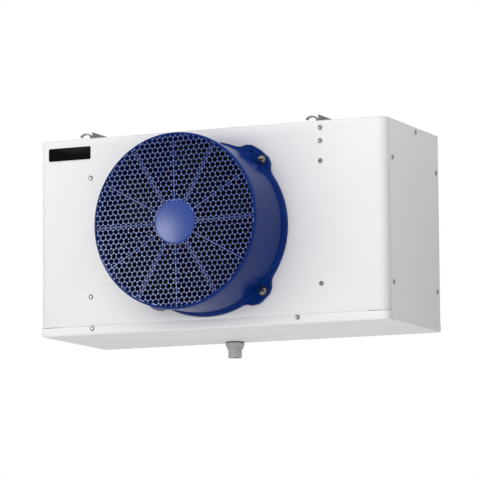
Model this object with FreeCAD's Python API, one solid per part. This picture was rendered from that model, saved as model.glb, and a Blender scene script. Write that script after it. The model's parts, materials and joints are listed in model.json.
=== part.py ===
import FreeCAD, Part
import math
import os

os.makedirs("parts", exist_ok=True)

V = FreeCAD.Vector

# Driving sizes in millimetres.
# Working axes here: x right from the casing centre, y back from the front face,
# z up from the seam between the front panel and the drain pan.

# The casing. Its height follows the fan hole in the front panel.
fan_hole_r = 162.0
fan_margin = 20.0
casing_w = 720.0
casing_d = 280.0
casing_h = 2.0 * (fan_hole_r + fan_margin)
half_w = casing_w / 2.0
sheet = 1.2
corner_r = 17.0
corner_back = 26.0
seam_gap = 0.3
screw_r = 2.0
screw_clear = 0.3
screw_head_r = 4.6
screw_head_h = 2.4
screw_len = 8.0

# The drain pan under the casing.
pan_lip = 17.0
pan_wing = 2.5
pan_tail = 3.0
pan_gap = 0.4
pan_side_r = 10.0
pan_front_r = 3.5
pan_back_r = 8.0

# The end bays beside the coil: wiring on the left, pipes on the right.
left_bay = 102.0
right_bay = 122.0
plate_t = 1.5
flange_in = 16.0
top_in = 22.0
plate_low = 14.0
coil_left = left_bay - half_w
coil_right = half_w - right_bay
back_in = casing_d - 2.0 * sheet

# The coil.
tube_r = 6.35
tube_clear = 0.3
tube_rows = 8
tube_edge = 32.65
col_pitch = 33.0
col_inset = 47.0
tube_out = 8.0
fin_low = 6.0
fin_top_gap = 26.0
fin_back_gap = 24.0
fin_depth = 78.0
fin_pitch = 10.0
fin_slot = 6.8
fin_slot_deep = 9.0
fin_high = casing_h - fin_top_gap
tube_low = fin_low + tube_edge
tube_pitch = (fin_high - fin_low - 2.0 * tube_edge) / (tube_rows - 1)
tube_col_b = casing_d - col_inset
tube_col_a = tube_col_b - col_pitch
fin_back = casing_d - fin_back_gap
fin_front = fin_back - fin_depth

# The fan ring and its guard.
fan_shift = 6.5
fan_drop = 10.5
fan_x = (coil_left + coil_right) / 2.0 + fan_shift
fan_z = casing_h / 2.0 - fan_drop
guard_reach = 150.0
grille_t = 6.0
skirt_l = 12.0
ring_reach = guard_reach - grille_t - skirt_l
spigot_l = 10.0
spigot_t = 2.4
slip_gap = 0.3
gasket_t = 1.5
flange_t = 8.5
edge_r = 1.2
cove_r = 4.5
ring_in_r = fan_hole_r - 6.0
ring_rear_r = fan_hole_r - 1.0
ring_front_r = fan_hole_r + 1.0
flange_r = fan_hole_r + 5.0
guard_r = ring_front_r + 3.0
rim_w = 8.5
hub_r = 42.0
hub_dome = 4.0
cell_pitch = 21.2
cell_share = 0.80
rib_count = 12
rib_w = 2.0
rib_deep = 5.0
bolt_ring_r = fan_hole_r + 9.5
bolt_angle = 46.5
ear_hole_angle = 55.5
bolt_r = 3.0
bolt_clear = 0.3
bolt_head_r = 7.8
bolt_head_h = 5.0
bolt_len = 20.0
pocket_r = 24.0
pocket_out = 11.0
pocket_l = 38.0
pocket_lean = 2.5

# The motor and the impeller.
stator_r = 43.0
stator_base_t = 9.0
stator_core_r = 35.0
stator_core_l = 34.0
rotor_r = 46.0
rotor_bore_r = 41.0
rotor_gap = 3.0
rotor_l = 41.0
rotor_end_t = 7.0
shaft_r = 5.0
shaft_clear = 0.05
motor_screw_ring = 26.0
blade_count = 5
blade_hub_t = 6.0
blade_tip_gap = 5.0
blade_tip_r = ring_in_r - blade_tip_gap
motor_y = -guard_reach + grille_t + rib_deep
blade_mid = motor_y + 41.0

# The motor lead, in a duct on the fan ring.
cable_r = 2.6
duct_angle = 200.0
duct_r = ring_in_r + 3.0
duct_half = 4.0
duct_wall = 4.0
duct_out = duct_r + 4.0

# The terminal box on the left coil plate.
box_l = 90.0
box_from_coil = 50.0
box_z0 = 60.0
box_h = 110.0
box_depth = 46.0
box_z1 = box_z0 + box_h
box_y1 = tube_col_a - box_from_coil
box_y0 = box_y1 - box_l
box_x = coil_left - box_depth
cable_hole_r = 7.3
cable_hole_y = box_y0 + 36.0
cable_hole_z = box_z0 + 52.0
conduit_r = 11.1
conduit_x = coil_left - 28.5
conduit_z = tube_low + 2.5 * tube_pitch

# The pipework at the right end.
suction_r = 11.1
liquid_r = 4.8
feeder_r = 3.2
pipe_wall = 1.2
braze_gap = 0.15
socket_deep = 20.0
liquid_socket = 12.0
stub_out = 34.0
grommet_wall = 5.9
suction_x = coil_right + 52.0
liquid_x = coil_right + 84.0
header_low = tube_low + 3.0 * tube_pitch
header_high = tube_low + (tube_rows - 1) * tube_pitch
header_tail = 22.0
suction_z = header_low - 57.0
liquid_z = casing_h - 102.0
valve_y = tube_col_a - 82.0
bulb_r = 6.0
bulb_l = 34.0
bulb_y = casing_d - 48.0

# The hanger rails.
rail_t = 2.0
rail_h = 13.0
rail_foot = 18.0
rail_inset = 8.0
rail_left = coil_left + 9.0
rail_right = coil_right - 13.0
rail_back = casing_d - rail_inset
slot_pitch = 140.0
slot_back = casing_d - 45.0
slot_front = slot_back - slot_pitch
slot_half = 5.5
slot_len = 20.0
slot_inset = 17.0
tab_w = 32.0
tab_l = 32.0
hook_r = 9.6
hook_t = 2.2
hook_l = 7.0
hook_set = 16.0

# The drain outlet.
pipe_r = 13.35
pipe_bore_r = 10.4
pipe_clear = 0.3
drain_gasket_t = 2.0
drain_drop = 31.0
drain_x = fan_x - 58.5
drain_y = casing_d - 24.0

# The blank name plate.
label_w = 90.0
label_h = 25.0
label_t = 0.8
label_side = 20.0
label_top = 15.0
label_r = 2.5

# The origin is the middle of the four hanger slots, on the top of the tabs.
origin_x = (rail_left + rail_right) / 2.0 - slot_inset
origin_y = (slot_front + slot_back) / 2.0
origin_z = casing_h + rail_h

# Screw places, shared by the screws and by the holes they pass through.
left_line = coil_left + 8.0
right_line = coil_right - 8.0
front_screws = [(left_line, casing_h - 77.0), (left_line, 56.0)]
front_screws += [(right_line, casing_h - 13.0), (right_line, casing_h - 38.0)]
front_screws += [(right_line, casing_h - 76.0), (right_line, 56.0)]
pan_screws = [(coil_left + 11.0, -5.0), (coil_right - 57.0, -5.0)]
side_front = 38.0
side_back = casing_d - 15.0
side_screws = [((side_front + casing_d) / 2.0, casing_h - 9.0)]
side_screws += [(side_front, casing_h - 73.0), (side_back, casing_h - 73.0)]
side_screws += [(side_front, 56.0), (side_back, 60.0)]
screw_hole_r = screw_r + screw_clear

to_back = V(0, 1, 0)
to_front = V(0, -1, 0)
to_right = V(1, 0, 0)
to_left = V(-1, 0, 0)
upward = V(0, 0, 1)
downward = V(0, 0, -1)


def box(x0, x1, y0, y1, z0, z1):
    return Part.makeBox(x1 - x0, y1 - y0, z1 - z0, V(x0, y0, z0))


def rod(x, y, z, r, length, direction):
    return Part.makeCylinder(r, length, V(x, y, z), direction)


def cone(x, y, z, r0, r1, length, direction):
    return Part.makeCone(r0, r1, length, V(x, y, z), direction)


def tube(x, y, z, r_out, r_in, length, direction):
    outer = rod(x, y, z, r_out, length, direction)
    inner = rod(x, y, z, r_in, length, direction)
    return outer.cut(inner)


def join(shapes):
    whole = shapes[0]
    if len(shapes) > 1:
        whole = whole.multiFuse(shapes[1:])
    return whole.removeSplitter()


def mirror_x(shape):
    return shape.mirror(V(0, 0, 0), V(1, 0, 0))


def save(name, shape):
    moved = shape.copy()
    moved.translate(V(-origin_x, -origin_y, -origin_z))
    moved.exportStep("parts/" + name + ".step")
    print(name, len(moved.Solids), round(moved.Volume), moved.isValid())


# The start, middle and end of the arc that rounds the corner at a point of a path.
def corner_arc(before, at, after, r):
    u = (before - at).normalize()
    w = (after - at).normalize()
    half_turn = u.getAngle(w) / 2.0
    reach = r / math.tan(half_turn)
    inward = (u + w).normalize()
    centre = at + inward * (r / math.sin(half_turn))
    return at + u * reach, centre - inward * r, at + w * reach


# A flat face inside a closed loop of corners, each with its own rounding.
def outline(points, radii):
    count = len(points)
    corners = []
    for i, r in enumerate(radii):
        if r > 0.0:
            corners.append(corner_arc(points[i - 1], points[i], points[(i + 1) % count], r))
        else:
            corners.append((points[i], None, points[i]))
    edges = []
    for i, (start, middle, end) in enumerate(corners):
        if middle:
            edges.append(Part.Arc(start, middle, end).toShape())
        edges.append(Part.makeLine(end, corners[(i + 1) % count][0]))
    return Part.Face(Part.Wire(edges))


# A round pipe through a list of points with its corners bent to one radius.
def pipe(points, r, bend):
    edges = []
    start = points[0]
    for i in range(1, len(points) - 1):
        a, middle, b = corner_arc(points[i - 1], points[i], points[i + 1], bend)
        edges.append(Part.makeLine(start, a))
        edges.append(Part.Arc(a, middle, b).toShape())
        start = b
    edges.append(Part.makeLine(start, points[-1]))
    first = (points[1] - points[0]).normalize()
    ring = Part.Wire(Part.makeCircle(r, points[0], first))
    return Part.Wire(edges).makePipeShell([ring], True, True)


def hexagon(x, y, z, across, height, axis):
    r = across / math.sqrt(3.0)
    pts = []
    for i in range(6):
        a = math.radians(60.0 * i)
        if axis == upward:
            pts.append(V(x + r * math.cos(a), y + r * math.sin(a), z))
        else:
            pts.append(V(x + r * math.cos(a), y, z + r * math.sin(a)))
    return outline(pts, [0.0] * 6).extrude(axis * height)


def fan_point(radius, angle, y):
    a = math.radians(angle)
    return V(fan_x + radius * math.cos(a), y, fan_z + radius * math.sin(a))


# A shape drawn along +x from the fan axis, turned to an angle and put on the axis.
def on_fan(shape, angle):
    shape.rotate(V(0, 0, 0), to_back, -angle)
    shape.translate(V(fan_x, 0, fan_z))
    return shape


# The plan of the casing, with its two rounded front corners, as a slab between two heights.
def plan(inset, back, z0, z1, extra=0.0):
    half = half_w + extra - inset
    r = corner_r - inset
    pts = [V(-half, back, z0), V(-half, inset, z0), V(half, inset, z0), V(half, back, z0)]
    return outline(pts, [0.0, r, r, 0.0]).extrude(upward * (z1 - z0))


# A trough with rounded lower corners, long enough to be cut to size by what it meets.
def trough(a0, a1, low, high, r0, r1, along):
    far = casing_w + casing_d
    if along == to_back:
        pts = [V(a0, -far, high), V(a0, -far, low), V(a1, -far, low), V(a1, -far, high)]
    else:
        pts = [V(-far, a0, high), V(-far, a0, low), V(-far, a1, low), V(-far, a1, high)]
    return outline(pts, [0.0, r0, r1, 0.0]).extrude(along * 2.0 * far)


def bolt_turns():
    return [bolt_angle, -bolt_angle, 180.0 - bolt_angle, 180.0 + bolt_angle]


def front_panel():
    top = casing_h - sheet
    body = plan(0.0, corner_back, 0.0, top)
    body = body.cut(plan(sheet, corner_back + 5.0, -1.0, top - sheet))
    fold = 20.0
    low = top - sheet - 0.1
    body = body.cut(box(30.0 - half_w, half_w - 30.0, fold, corner_back + 1.0, low, top + 1.0))
    for x in (coil_left, coil_right - top_in):
        body = body.cut(box(x - 0.5, x + top_in + 0.5, sheet, corner_back + 1.0, low, top + 1.0))
    leg = box(half_w - 2 * sheet, half_w - sheet, corner_r + 1.0, 2 * corner_back, 12.0, top - 2 * sheet)
    hem = box(40.0 - half_w, half_w - 40.0, sheet, 2 * sheet, -12.0, 12.0)
    body = join([body, hem, leg, mirror_x(leg)])
    holes = [rod(x, -1.0, z, screw_hole_r, 5.0, to_back) for x, z in front_screws + pan_screws]
    holes.append(rod(fan_x, -1.0, fan_z, fan_hole_r, 5.0, to_back))
    for turn in bolt_turns():
        p = fan_point(bolt_ring_r, turn, -1.0)
        holes.append(rod(p.x, p.y, p.z, bolt_r + bolt_clear, 5.0, to_back))
    for y, z in side_screws:
        if y == side_front:
            holes.append(rod(-half_w - 5.0, y, z, screw_hole_r, casing_w + 10.0, to_right))
    return body.cut(holes)


def rail_screw_places():
    places = []
    for x in (coil_left + 14.0, coil_right - 7.0):
        for y in (rail_inset + 26.0, (slot_front + slot_back) / 2.0, casing_d - 34.0):
            places.append((x, y))
    return places


def top_panel():
    lid = plan(0.0, casing_d, casing_h - sheet, casing_h)
    drop = box(coil_left + top_in, coil_right - top_in, casing_d - sheet, casing_d,
               fin_high + 4.0, casing_h - sheet)
    holes = [rod(x, y, casing_h - 9.0, screw_hole_r, 12.0, upward) for x, y in rail_screw_places()]
    return join([lid, drop]).cut(holes)


def end_panel():
    top = casing_h - sheet
    fold = 14.0
    skin = box(half_w - sheet, half_w, corner_back + seam_gap, casing_d, 1.5 - pan_lip, top)
    upper = box(half_w - fold, half_w - sheet, 2 * corner_back + 2.0, casing_d, top - sheet, top)
    back = box(half_w - fold, half_w - sheet, casing_d - sheet, casing_d, 1.0, top)
    holes = [rod(half_w - 20.0, y, z, screw_hole_r, 25.0, to_right) for y, z in side_screws]
    return join([skin, upper, back]).cut(holes)


# The upright plate at each end of the coil, folded towards the coil at the front and top
# and towards the end bay at the back. The side is 1 for the left plate and -1 for the right.
def coil_plate(x, side):
    top = casing_h - sheet

    def part(dx0, dx1, y0, y1, z0, z1):
        a = x + side * dx0
        b = x + side * dx1
        return box(min(a, b), max(a, b), y0, y1, z0, z1)

    web = part(0.0, plate_t, sheet, back_in, plate_low, top)
    front = part(0.0, flange_in, sheet, sheet + plate_t, plate_low, top)
    upper = part(0.0, top_in, sheet, back_in, top - plate_t, top)
    rear = part(-flange_in, plate_t, back_in - plate_t, back_in, plate_low, top)
    holes = [rod(sx, 0.0, sz, screw_hole_r, 4.0, to_back) for sx, sz in front_screws]
    x0 = x - 2.0 * plate_t
    through = 4.0 * plate_t
    for y in (tube_col_a, tube_col_b):
        for i in range(tube_rows):
            z = tube_low + i * tube_pitch
            holes.append(rod(x0, y, z, tube_r + tube_clear, through, to_right))
    for sx, sy in rail_screw_places():
        holes.append(rod(sx, sy, top - 5.0, screw_hole_r, 12.0, upward))
    if side > 0:
        holes.append(rod(x0, cable_hole_y, cable_hole_z, cable_hole_r, through, to_right))
    return join([web, front, upper, rear]).cut(holes)


def rear_plate_left():
    plate = box(sheet + pan_gap - half_w, coil_left + plate_t, back_in, casing_d - sheet, 4.0, casing_h - 6.0)
    return plate.cut(rod(conduit_x, back_in - 1.0, conduit_z, conduit_r, 4.0, to_back))


def rear_plate_right():
    plate = box(coil_right - plate_t, half_w - sheet - pan_gap, back_in, casing_d - sheet, 4.0, casing_h - 6.0)
    cuts = [rod(suction_x, back_in - 1.0, suction_z, suction_r + grommet_wall, 4.0, to_back)]
    cuts.append(rod(liquid_x, back_in - 1.0, liquid_z, liquid_r + grommet_wall, 4.0, to_back))
    return plate.cut(cuts)


def drain_pan():
    back = casing_d + pan_tail
    outer = plan(0.0, corner_back, -pan_lip, -pan_gap, pan_wing)
    outer = outer.fuse(box(sheet - half_w, half_w - sheet, 5.0, back, -pan_lip, -pan_gap))
    wide = half_w + pan_wing
    outer = outer.common(trough(-wide, wide, -pan_lip, 5.0, pan_side_r, pan_side_r, to_back))
    outer = outer.common(trough(0.0, back, -pan_lip, 5.0, pan_front_r, pan_back_r, to_right))
    floor = sheet - pan_lip
    inner_w = half_w - 2 * sheet
    side_r = pan_side_r - 2.0
    hollow = trough(-inner_w, inner_w, floor, 6.0, side_r, side_r, to_back)
    hollow = hollow.common(trough(2 * sheet, back - sheet, floor, 6.0,
                                  pan_front_r - 0.5, pan_back_r - 1.0, to_right))
    holes = [rod(drain_x, drain_y, -pan_lip - 2.0, pipe_r + pipe_clear, 6.0, upward)]
    holes.append(box(39.5 - half_w, half_w - 39.5, sheet, 2 * sheet + pan_gap, -12.5, 1.0))
    for x, z in pan_screws:
        holes.append(rod(x, -1.0, z, screw_hole_r, 6.0, to_back))
    return outer.cut(hollow).cut(holes)


# The drain outlet: a collar, a taper, a step and the pipe stub, on a threaded neck in the pan.
def drain_fitting():
    z = -pan_lip - drain_gasket_t
    neck = 11.0
    body = join([
        rod(drain_x, drain_y, z, pipe_r + 5.35, 4.5, downward),
        cone(drain_x, drain_y, z - 4.5, pipe_r + 5.35, pipe_r + 3.25, 4.0, downward),
        rod(drain_x, drain_y, z - 8.5, pipe_r + 2.55, 3.5, downward),
        rod(drain_x, drain_y, neck - pan_lip, pipe_r, neck + drain_drop, downward),
    ])
    return body.cut(rod(drain_x, drain_y, 0.0, pipe_bore_r, 2.0 * (drain_drop + neck), downward))


def drain_locknut():
    z = sheet - pan_lip
    nut = hexagon(drain_x, drain_y, z, 2.0 * pipe_r + 9.3, 6.0, upward)
    return nut.cut(rod(drain_x, drain_y, z - 1.0, pipe_r + pipe_clear, 9.0, upward))


def drain_gasket():
    return tube(drain_x, drain_y, -pan_lip, pipe_r + 4.15, pipe_r + pipe_clear, drain_gasket_t, downward)


# One lug of the fan ring, seen from the front, as radius from the bolt circle and angle.
def ear(sign_x, sign_z):
    shape = [(-21.5, 36.0, 0.0), (-4.7, 35.0, 0.0), (-1.8, 38.3, 6.0), (7.5, 41.6, 5.0),
             (11.7, 45.2, 6.0), (12.2, 52.0, 20.0), (11.0, 57.8, 5.0), (6.0, 61.2, 5.0),
             (-1.5, 63.8, 6.0), (-4.7, 67.0, 0.0), (-21.5, 66.0, 0.0)]
    pts = []
    for out, angle, _ in shape:
        a = math.radians(angle)
        r = bolt_ring_r + out
        pts.append(V(fan_x + sign_x * r * math.cos(a), -gasket_t, fan_z + sign_z * r * math.sin(a)))
    return outline(pts, [s[2] for s in shape]).extrude(to_front * flange_t)


# The ring's section from its bore to its wall, with a rounded flange edge and a cove.
def ring_section():
    face = -gasket_t - flange_t
    nose = -ring_reach - spigot_l
    s = math.sqrt(0.5)

    def at(r, y):
        return V(fan_x + r, y, fan_z)

    lip_r = ring_in_r + spigot_t
    lines = [(at(ring_in_r, nose), at(ring_in_r, -gasket_t)),
             (at(ring_in_r, -gasket_t), at(flange_r, -gasket_t)),
             (at(flange_r, -gasket_t), at(flange_r, face + edge_r)),
             (at(flange_r - edge_r, face), at(ring_rear_r + cove_r, face)),
             (at(ring_rear_r, face - cove_r), at(ring_front_r, -ring_reach)),
             (at(ring_front_r, -ring_reach), at(lip_r, -ring_reach)),
             (at(lip_r, -ring_reach), at(lip_r, nose)),
             (at(lip_r, nose), at(ring_in_r, nose))]
    edges = [Part.makeLine(a, b) for a, b in lines]
    e = edge_r * (1.0 - s)
    edges.insert(3, Part.Arc(at(flange_r, face + edge_r), at(flange_r - e, face + e),
                             at(flange_r - edge_r, face)).toShape())
    c = cove_r * (1.0 - s)
    edges.insert(5, Part.Arc(at(ring_rear_r + cove_r, face), at(ring_rear_r + c, face - c),
                             at(ring_rear_r, face - cove_r)).toShape())
    return Part.Face(Part.Wire(edges))


def fan_ring():
    turned = ring_section().revolve(V(fan_x, 0, fan_z), to_back, 360.0)
    pads = [ear(1, 1), ear(1, -1), ear(-1, 1), ear(-1, -1)]
    wide = duct_half + duct_wall
    duct = on_fan(box(ring_in_r - 6.0, ring_in_r + 13.0, -ring_reach, -gasket_t, -wide, wide), duct_angle)
    body = join([turned, duct] + pads)
    face = -gasket_t - flange_t
    cuts = [rod(fan_x, 5.0, fan_z, ring_in_r, guard_reach + 50.0, to_front)]
    cuts.append(on_fan(box(ring_in_r - 16.0, duct_out, -guard_reach, 5.0, -duct_half, duct_half),
                       duct_angle))
    for sx in (1.0, -1.0):
        for sz in (1.0, -1.0):
            for radius, angle, r, y, length in (
                    (bolt_ring_r, bolt_angle, bolt_r + bolt_clear, 5.0, 40.0),
                    (bolt_ring_r, ear_hole_angle, 2.4, 5.0, 40.0),
                    (bolt_ring_r + pocket_out, bolt_angle + pocket_lean, pocket_r, face, pocket_l)):
                a = math.radians(angle)
                x = fan_x + sx * radius * math.cos(a)
                z = fan_z + sz * radius * math.sin(a)
                cuts.append(rod(x, y, z, r, length, to_front))
    return body.cut(cuts)


def ring_gasket():
    return tube(fan_x, 0.0, fan_z, flange_r - slip_gap, fan_hole_r + slip_gap, gasket_t, to_front)


def motor_screw_places():
    places = []
    for i in range(4):
        p = fan_point(motor_screw_ring, 45.0 + 90.0 * i, 0.0)
        places.append((p.x, p.z))
    return places


# The wires of the guard's hexagonal cells, which stand with a point at the top.
def guard_cells(y):
    cells = []
    row_h = cell_pitch * math.sqrt(3.0) / 2.0
    cell_r = cell_pitch * cell_share / math.sqrt(3.0)
    reach = int(guard_r / row_h) + 1
    for row in range(-reach, reach + 1):
        shift = 0.5 * cell_pitch if row % 2 else 0.0
        for col in range(-reach, reach + 1):
            cx = col * cell_pitch + shift
            cz = row * row_h
            away = math.hypot(cx, cz)
            if away < hub_r + 3.0 + cell_r or away > guard_r - rim_w - cell_r:
                continue
            pts = []
            for i in range(7):
                a = math.radians(90.0 + 60.0 * i)
                pts.append(V(fan_x + cx + cell_r * math.cos(a), y, fan_z + cz + cell_r * math.sin(a)))
            cells.append(Part.makePolygon(pts))
    return cells


# The front guard: a rim with a skirt, a honeycomb disc, ribs behind it and a boss for the motor.
def fan_guard():
    y0 = -guard_reach
    y1 = y0 + grille_t
    rim = Part.Wire(Part.makeCircle(guard_r, V(fan_x, y0, fan_z), to_back))
    holes = [Part.Face(w) for w in guard_cells(y0)]
    grille = Part.Face(rim).cut(Part.makeCompound(holes)).extrude(to_back * grille_t)
    skirt = tube(fan_x, y1, fan_z, guard_r, ring_in_r + spigot_t + slip_gap, skirt_l, to_back)
    keep = rod(fan_x, y0, fan_z, ring_in_r - 0.5, 30.0, to_back)
    ribs = []
    for i in range(rib_count):
        rib = box(hub_r - 4.0, guard_r, y1, y1 + rib_deep, -rib_w / 2.0, rib_w / 2.0)
        ribs.append(on_fan(rib, i * 360.0 / rib_count).common(keep))
    boss = rod(fan_x, y1, fan_z, hub_r + 2.0, rib_deep, to_back)
    body = grille.fuse([skirt, boss] + ribs).removeSplitter()
    cuts = [rod(x, y0 - 1.0, z, 2.8, 14.0, to_back) for x, z in motor_screw_places()]
    cuts.append(rod(fan_x, y0 - 1.0, fan_z, hub_r - 5.0, 4.0, to_back))
    cuts.append(on_fan(box(ring_in_r - 2.0, duct_out, motor_y, 1.0 - ring_reach, -duct_half, duct_half),
                       duct_angle))
    return body.cut(cuts)


def hub_cap():
    y0 = -guard_reach
    plug = rod(fan_x, y0 + 1.9, fan_z, hub_r - 5.3, 1.9, to_front)
    dome = cone(fan_x, y0, fan_z, hub_r, hub_r - 6.0, hub_dome, to_front)
    return join([plug, dome])


def motor_stator():
    base = rod(fan_x, motor_y, fan_z, stator_r, stator_base_t, to_back)
    core = rod(fan_x, motor_y + stator_base_t, fan_z, stator_core_r, stator_core_l, to_back)
    whole = 2.0 * (stator_base_t + stator_core_l)
    cuts = [rod(fan_x, motor_y - 1.0, fan_z, shaft_r + shaft_clear, whole, to_back)]
    for x, z in motor_screw_places():
        cuts.append(rod(x, motor_y - 1.0, z, 2.2, 13.0, to_back))
    inner = fan_point(stator_r - 8.0, duct_angle, motor_y + stator_base_t / 2.0)
    outward = fan_point(1.0, duct_angle, 0.0) - fan_point(0.0, duct_angle, 0.0)
    cuts.append(rod(inner.x, inner.y, inner.z, cable_r + slip_gap, 9.0, outward))
    return join([base, core]).cut(cuts)


def motor_rotor():
    y0 = motor_y + stator_base_t + rotor_gap
    end = y0 + rotor_l - rotor_end_t
    cup = tube(fan_x, y0, fan_z, rotor_r, rotor_bore_r, rotor_l - rotor_end_t, to_back)
    disc = rod(fan_x, end, fan_z, rotor_r, rotor_end_t, to_back)
    shaft = rod(fan_x, motor_y + 4.0, fan_z, shaft_r, end - motor_y - 3.0, to_back)
    return join([cup, disc, shaft])


# One blade: thin curved sections at five radii joined into one solid.
def blade(turn):
    wires = []
    inner = rotor_r - 2.0
    outer = blade_tip_r + 9.0
    for share, chord, pitch, lead in ((0.0, 62.0, 40.0, 0.0), (0.27, 76.0, 33.0, 3.0),
                                      (0.53, 90.0, 27.0, 8.0), (0.78, 98.0, 23.0, 14.0),
                                      (1.0, 100.0, 21.0, 20.0)):
        radius = inner + share * (outer - inner)
        thick = 2.6 if share < 0.5 else 2.0
        upper = []
        lower = []
        p = math.radians(pitch)
        for k in range(5):
            u = (k / 4.0 - 0.5) * chord
            bow = 0.075 * chord * (1.0 - (2.0 * u / chord) ** 2)
            for side, line in ((0.5, upper), (-0.5, lower)):
                n = bow + side * thick * (1.0 if 0 < k < 4 else 0.5)
                along = u * math.cos(p) - n * math.sin(p)
                axial = u * math.sin(p) + n * math.cos(p)
                angle = turn + lead + math.degrees(along / radius)
                line.append(fan_point(radius, angle, blade_mid + axial))
        wires.append(Part.makePolygon(upper + lower[::-1] + [upper[0]]))
    return Part.makeLoft(wires, True, True)


def impeller():
    y0 = motor_y + stator_base_t + rotor_gap
    hub_out = rotor_r + blade_hub_t
    hub = tube(fan_x, y0 + 1.0, fan_z, hub_out, rotor_r, rotor_l + 3.0, to_back)
    face = tube(fan_x, y0 + rotor_l, fan_z, hub_out, 20.0, 4.0, to_back)
    shell = tube(fan_x, motor_y - 60.0, fan_z, blade_tip_r, rotor_r + 0.5, 220.0, to_back)
    blades = [blade(i * 360.0 / blade_count).common(shell) for i in range(blade_count)]
    body = hub.fuse([face] + blades)
    return body.cut(rod(fan_x, motor_y, fan_z, rotor_r, y0 + rotor_l - motor_y, to_back))


# A screw standing on a face: the head points out along a direction, the shank goes in.
def screw(x, y, z, out):
    head = cone(x, y, z, screw_head_r, 0.62 * screw_head_r, screw_head_h, out)
    return head.fuse(rod(x, y, z, screw_r, screw_len, out * -1.0))


def front_screw_group(places):
    return Part.makeCompound([screw(x, 0.0, z, to_front) for x, z in places])


def side_screw_group():
    return Part.makeCompound([screw(half_w, y, z, to_right) for y, z in side_screws])


def rail_screw_group():
    top = casing_h + rail_t
    return Part.makeCompound([screw(x, y, top, upward) for x, y in rail_screw_places()])


def ring_bolts():
    made = []
    for turn in bolt_turns():
        p = fan_point(bolt_ring_r, turn, -gasket_t - flange_t)
        head = cone(p.x, p.y, p.z, bolt_head_r, 0.62 * bolt_head_r, bolt_head_h, to_front)
        made.append(head.fuse(rod(p.x, p.y, p.z, bolt_r, bolt_len, to_back)))
    return Part.makeCompound(made)


def ring_nuts():
    made = []
    for turn in bolt_turns():
        p = fan_point(bolt_ring_r, turn, sheet)
        nut = hexagon(p.x, p.y, p.z, 10.0, 5.0, to_back)
        made.append(nut.cut(rod(p.x, p.y - 1.0, p.z, bolt_r + bolt_clear, 8.0, to_back)))
    return Part.makeCompound(made)


def motor_screws():
    made = []
    y0 = -guard_reach + 3.0
    for x, z in motor_screw_places():
        head = rod(x, y0, z, 4.2, 0.9, to_front)
        made.append(head.fuse(rod(x, y0, z, 2.0, 14.0, to_back)))
    return Part.makeCompound(made)


def straight_tubes():
    made = []
    length = coil_right - coil_left + 2.0 * tube_out
    for y in (tube_col_a, tube_col_b):
        for i in range(tube_rows):
            made.append(rod(coil_left - tube_out, y, tube_low + i * tube_pitch, tube_r, length, to_right))
    return Part.makeCompound(made)


# A half circle of tube between two tube ends, bulging along x.
def return_bend(x, ya, za, yb, zb, sign):
    middle = V(x, (ya + yb) / 2.0, (za + zb) / 2.0)
    reach = math.hypot(yb - ya, zb - za) / 2.0
    ring = Part.makeTorus(reach, tube_r, V(0, 0, 0), V(0, 0, 1), -180, 180, 180)
    if yb != ya:
        ring.rotate(V(0, 0, 0), V(0, 0, 1), -90 if sign > 0 else 90)
    else:
        ring.rotate(V(0, 0, 0), V(1, 0, 0), 90)
        ring.rotate(V(0, 0, 0), V(0, 1, 0), 90 if sign > 0 else -90)
    ring.translate(middle)
    return ring


def left_bends():
    made = []
    x = coil_left - tube_out
    for i in range(tube_rows):
        z = tube_low + i * tube_pitch
        made.append(return_bend(x, tube_col_a, z, tube_col_b, z, -1))
    return Part.makeCompound(made)


def right_bends():
    made = []
    x = coil_right + tube_out
    for base in range(0, tube_rows, 4):
        for col, row in ((tube_col_b, 0), (tube_col_a, 1), (tube_col_b, 2)):
            z = tube_low + (base + row) * tube_pitch
            made.append(return_bend(x, col, z, col, z + tube_pitch, 1))
    return Part.makeCompound(made)


def fin_pack():
    x0 = coil_left + plate_t + slip_gap
    x1 = coil_right - plate_t - slip_gap
    body = box(x0, x1, fin_front, fin_back, fin_low, fin_high)
    cuts = []
    for y in (tube_col_a, tube_col_b):
        for i in range(tube_rows):
            z = tube_low + i * tube_pitch
            cuts.append(rod(x0 - 1.0, y, z, tube_r + tube_clear, x1 - x0 + 2.0, to_right))
    count = int((x1 - x0 - 8.0) / fin_pitch)
    start = (x0 + x1) / 2.0 - (count - 1) * fin_pitch / 2.0
    low = fin_low - 1.0
    high = fin_high + 1.0
    for i in range(count):
        a = start + i * fin_pitch - fin_slot / 2.0
        cuts.append(box(a, a + fin_slot, fin_back - fin_slot_deep, fin_back + 1.0, low, high))
        cuts.append(box(a, a + fin_slot, fin_front - 1.0, fin_front + fin_slot_deep, low, high))
    return body.cut(Part.makeCompound(cuts))


def suction_header():
    length = header_high - header_low + header_tail + 14.0
    main = rod(suction_x, tube_col_a, header_low - header_tail, suction_r, length, upward)
    x0 = coil_right + tube_out
    stubs = [rod(x0, tube_col_a, z, tube_r, suction_x - x0, to_right) for z in (header_low, header_high)]
    return join([main] + stubs)


# The open end of a line: a swaged socket that the site pipe is brazed into.
def swaged_end(line, x, z, r, wall, deep):
    end = casing_d + stub_out
    socket_r = r + braze_gap
    start = end - deep - 2.0
    bell = rod(x, start, z, socket_r + wall, deep + 2.0, to_back)
    flare = cone(x, start - 3.0, z, r, socket_r + wall, 3.0, to_back)
    body = join([line, bell, flare])
    body = body.cut(rod(x, end + 1.0, z, socket_r, deep + 1.0, to_front))
    return body.cut(rod(x, end, z, r - wall, 2.0 * deep, to_front))


def suction_line():
    points = [V(suction_x, tube_col_a, header_low - header_tail), V(suction_x, tube_col_a, suction_z),
              V(suction_x, casing_d + stub_out, suction_z)]
    return swaged_end(pipe(points, suction_r, 24.0), suction_x, suction_z, suction_r, pipe_wall, socket_deep)


def liquid_line():
    start = valve_y + 15.0
    line = rod(liquid_x, start, liquid_z, liquid_r, casing_d + stub_out - start, to_back)
    return swaged_end(line, liquid_x, liquid_z, liquid_r, 0.8, liquid_socket)


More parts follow.
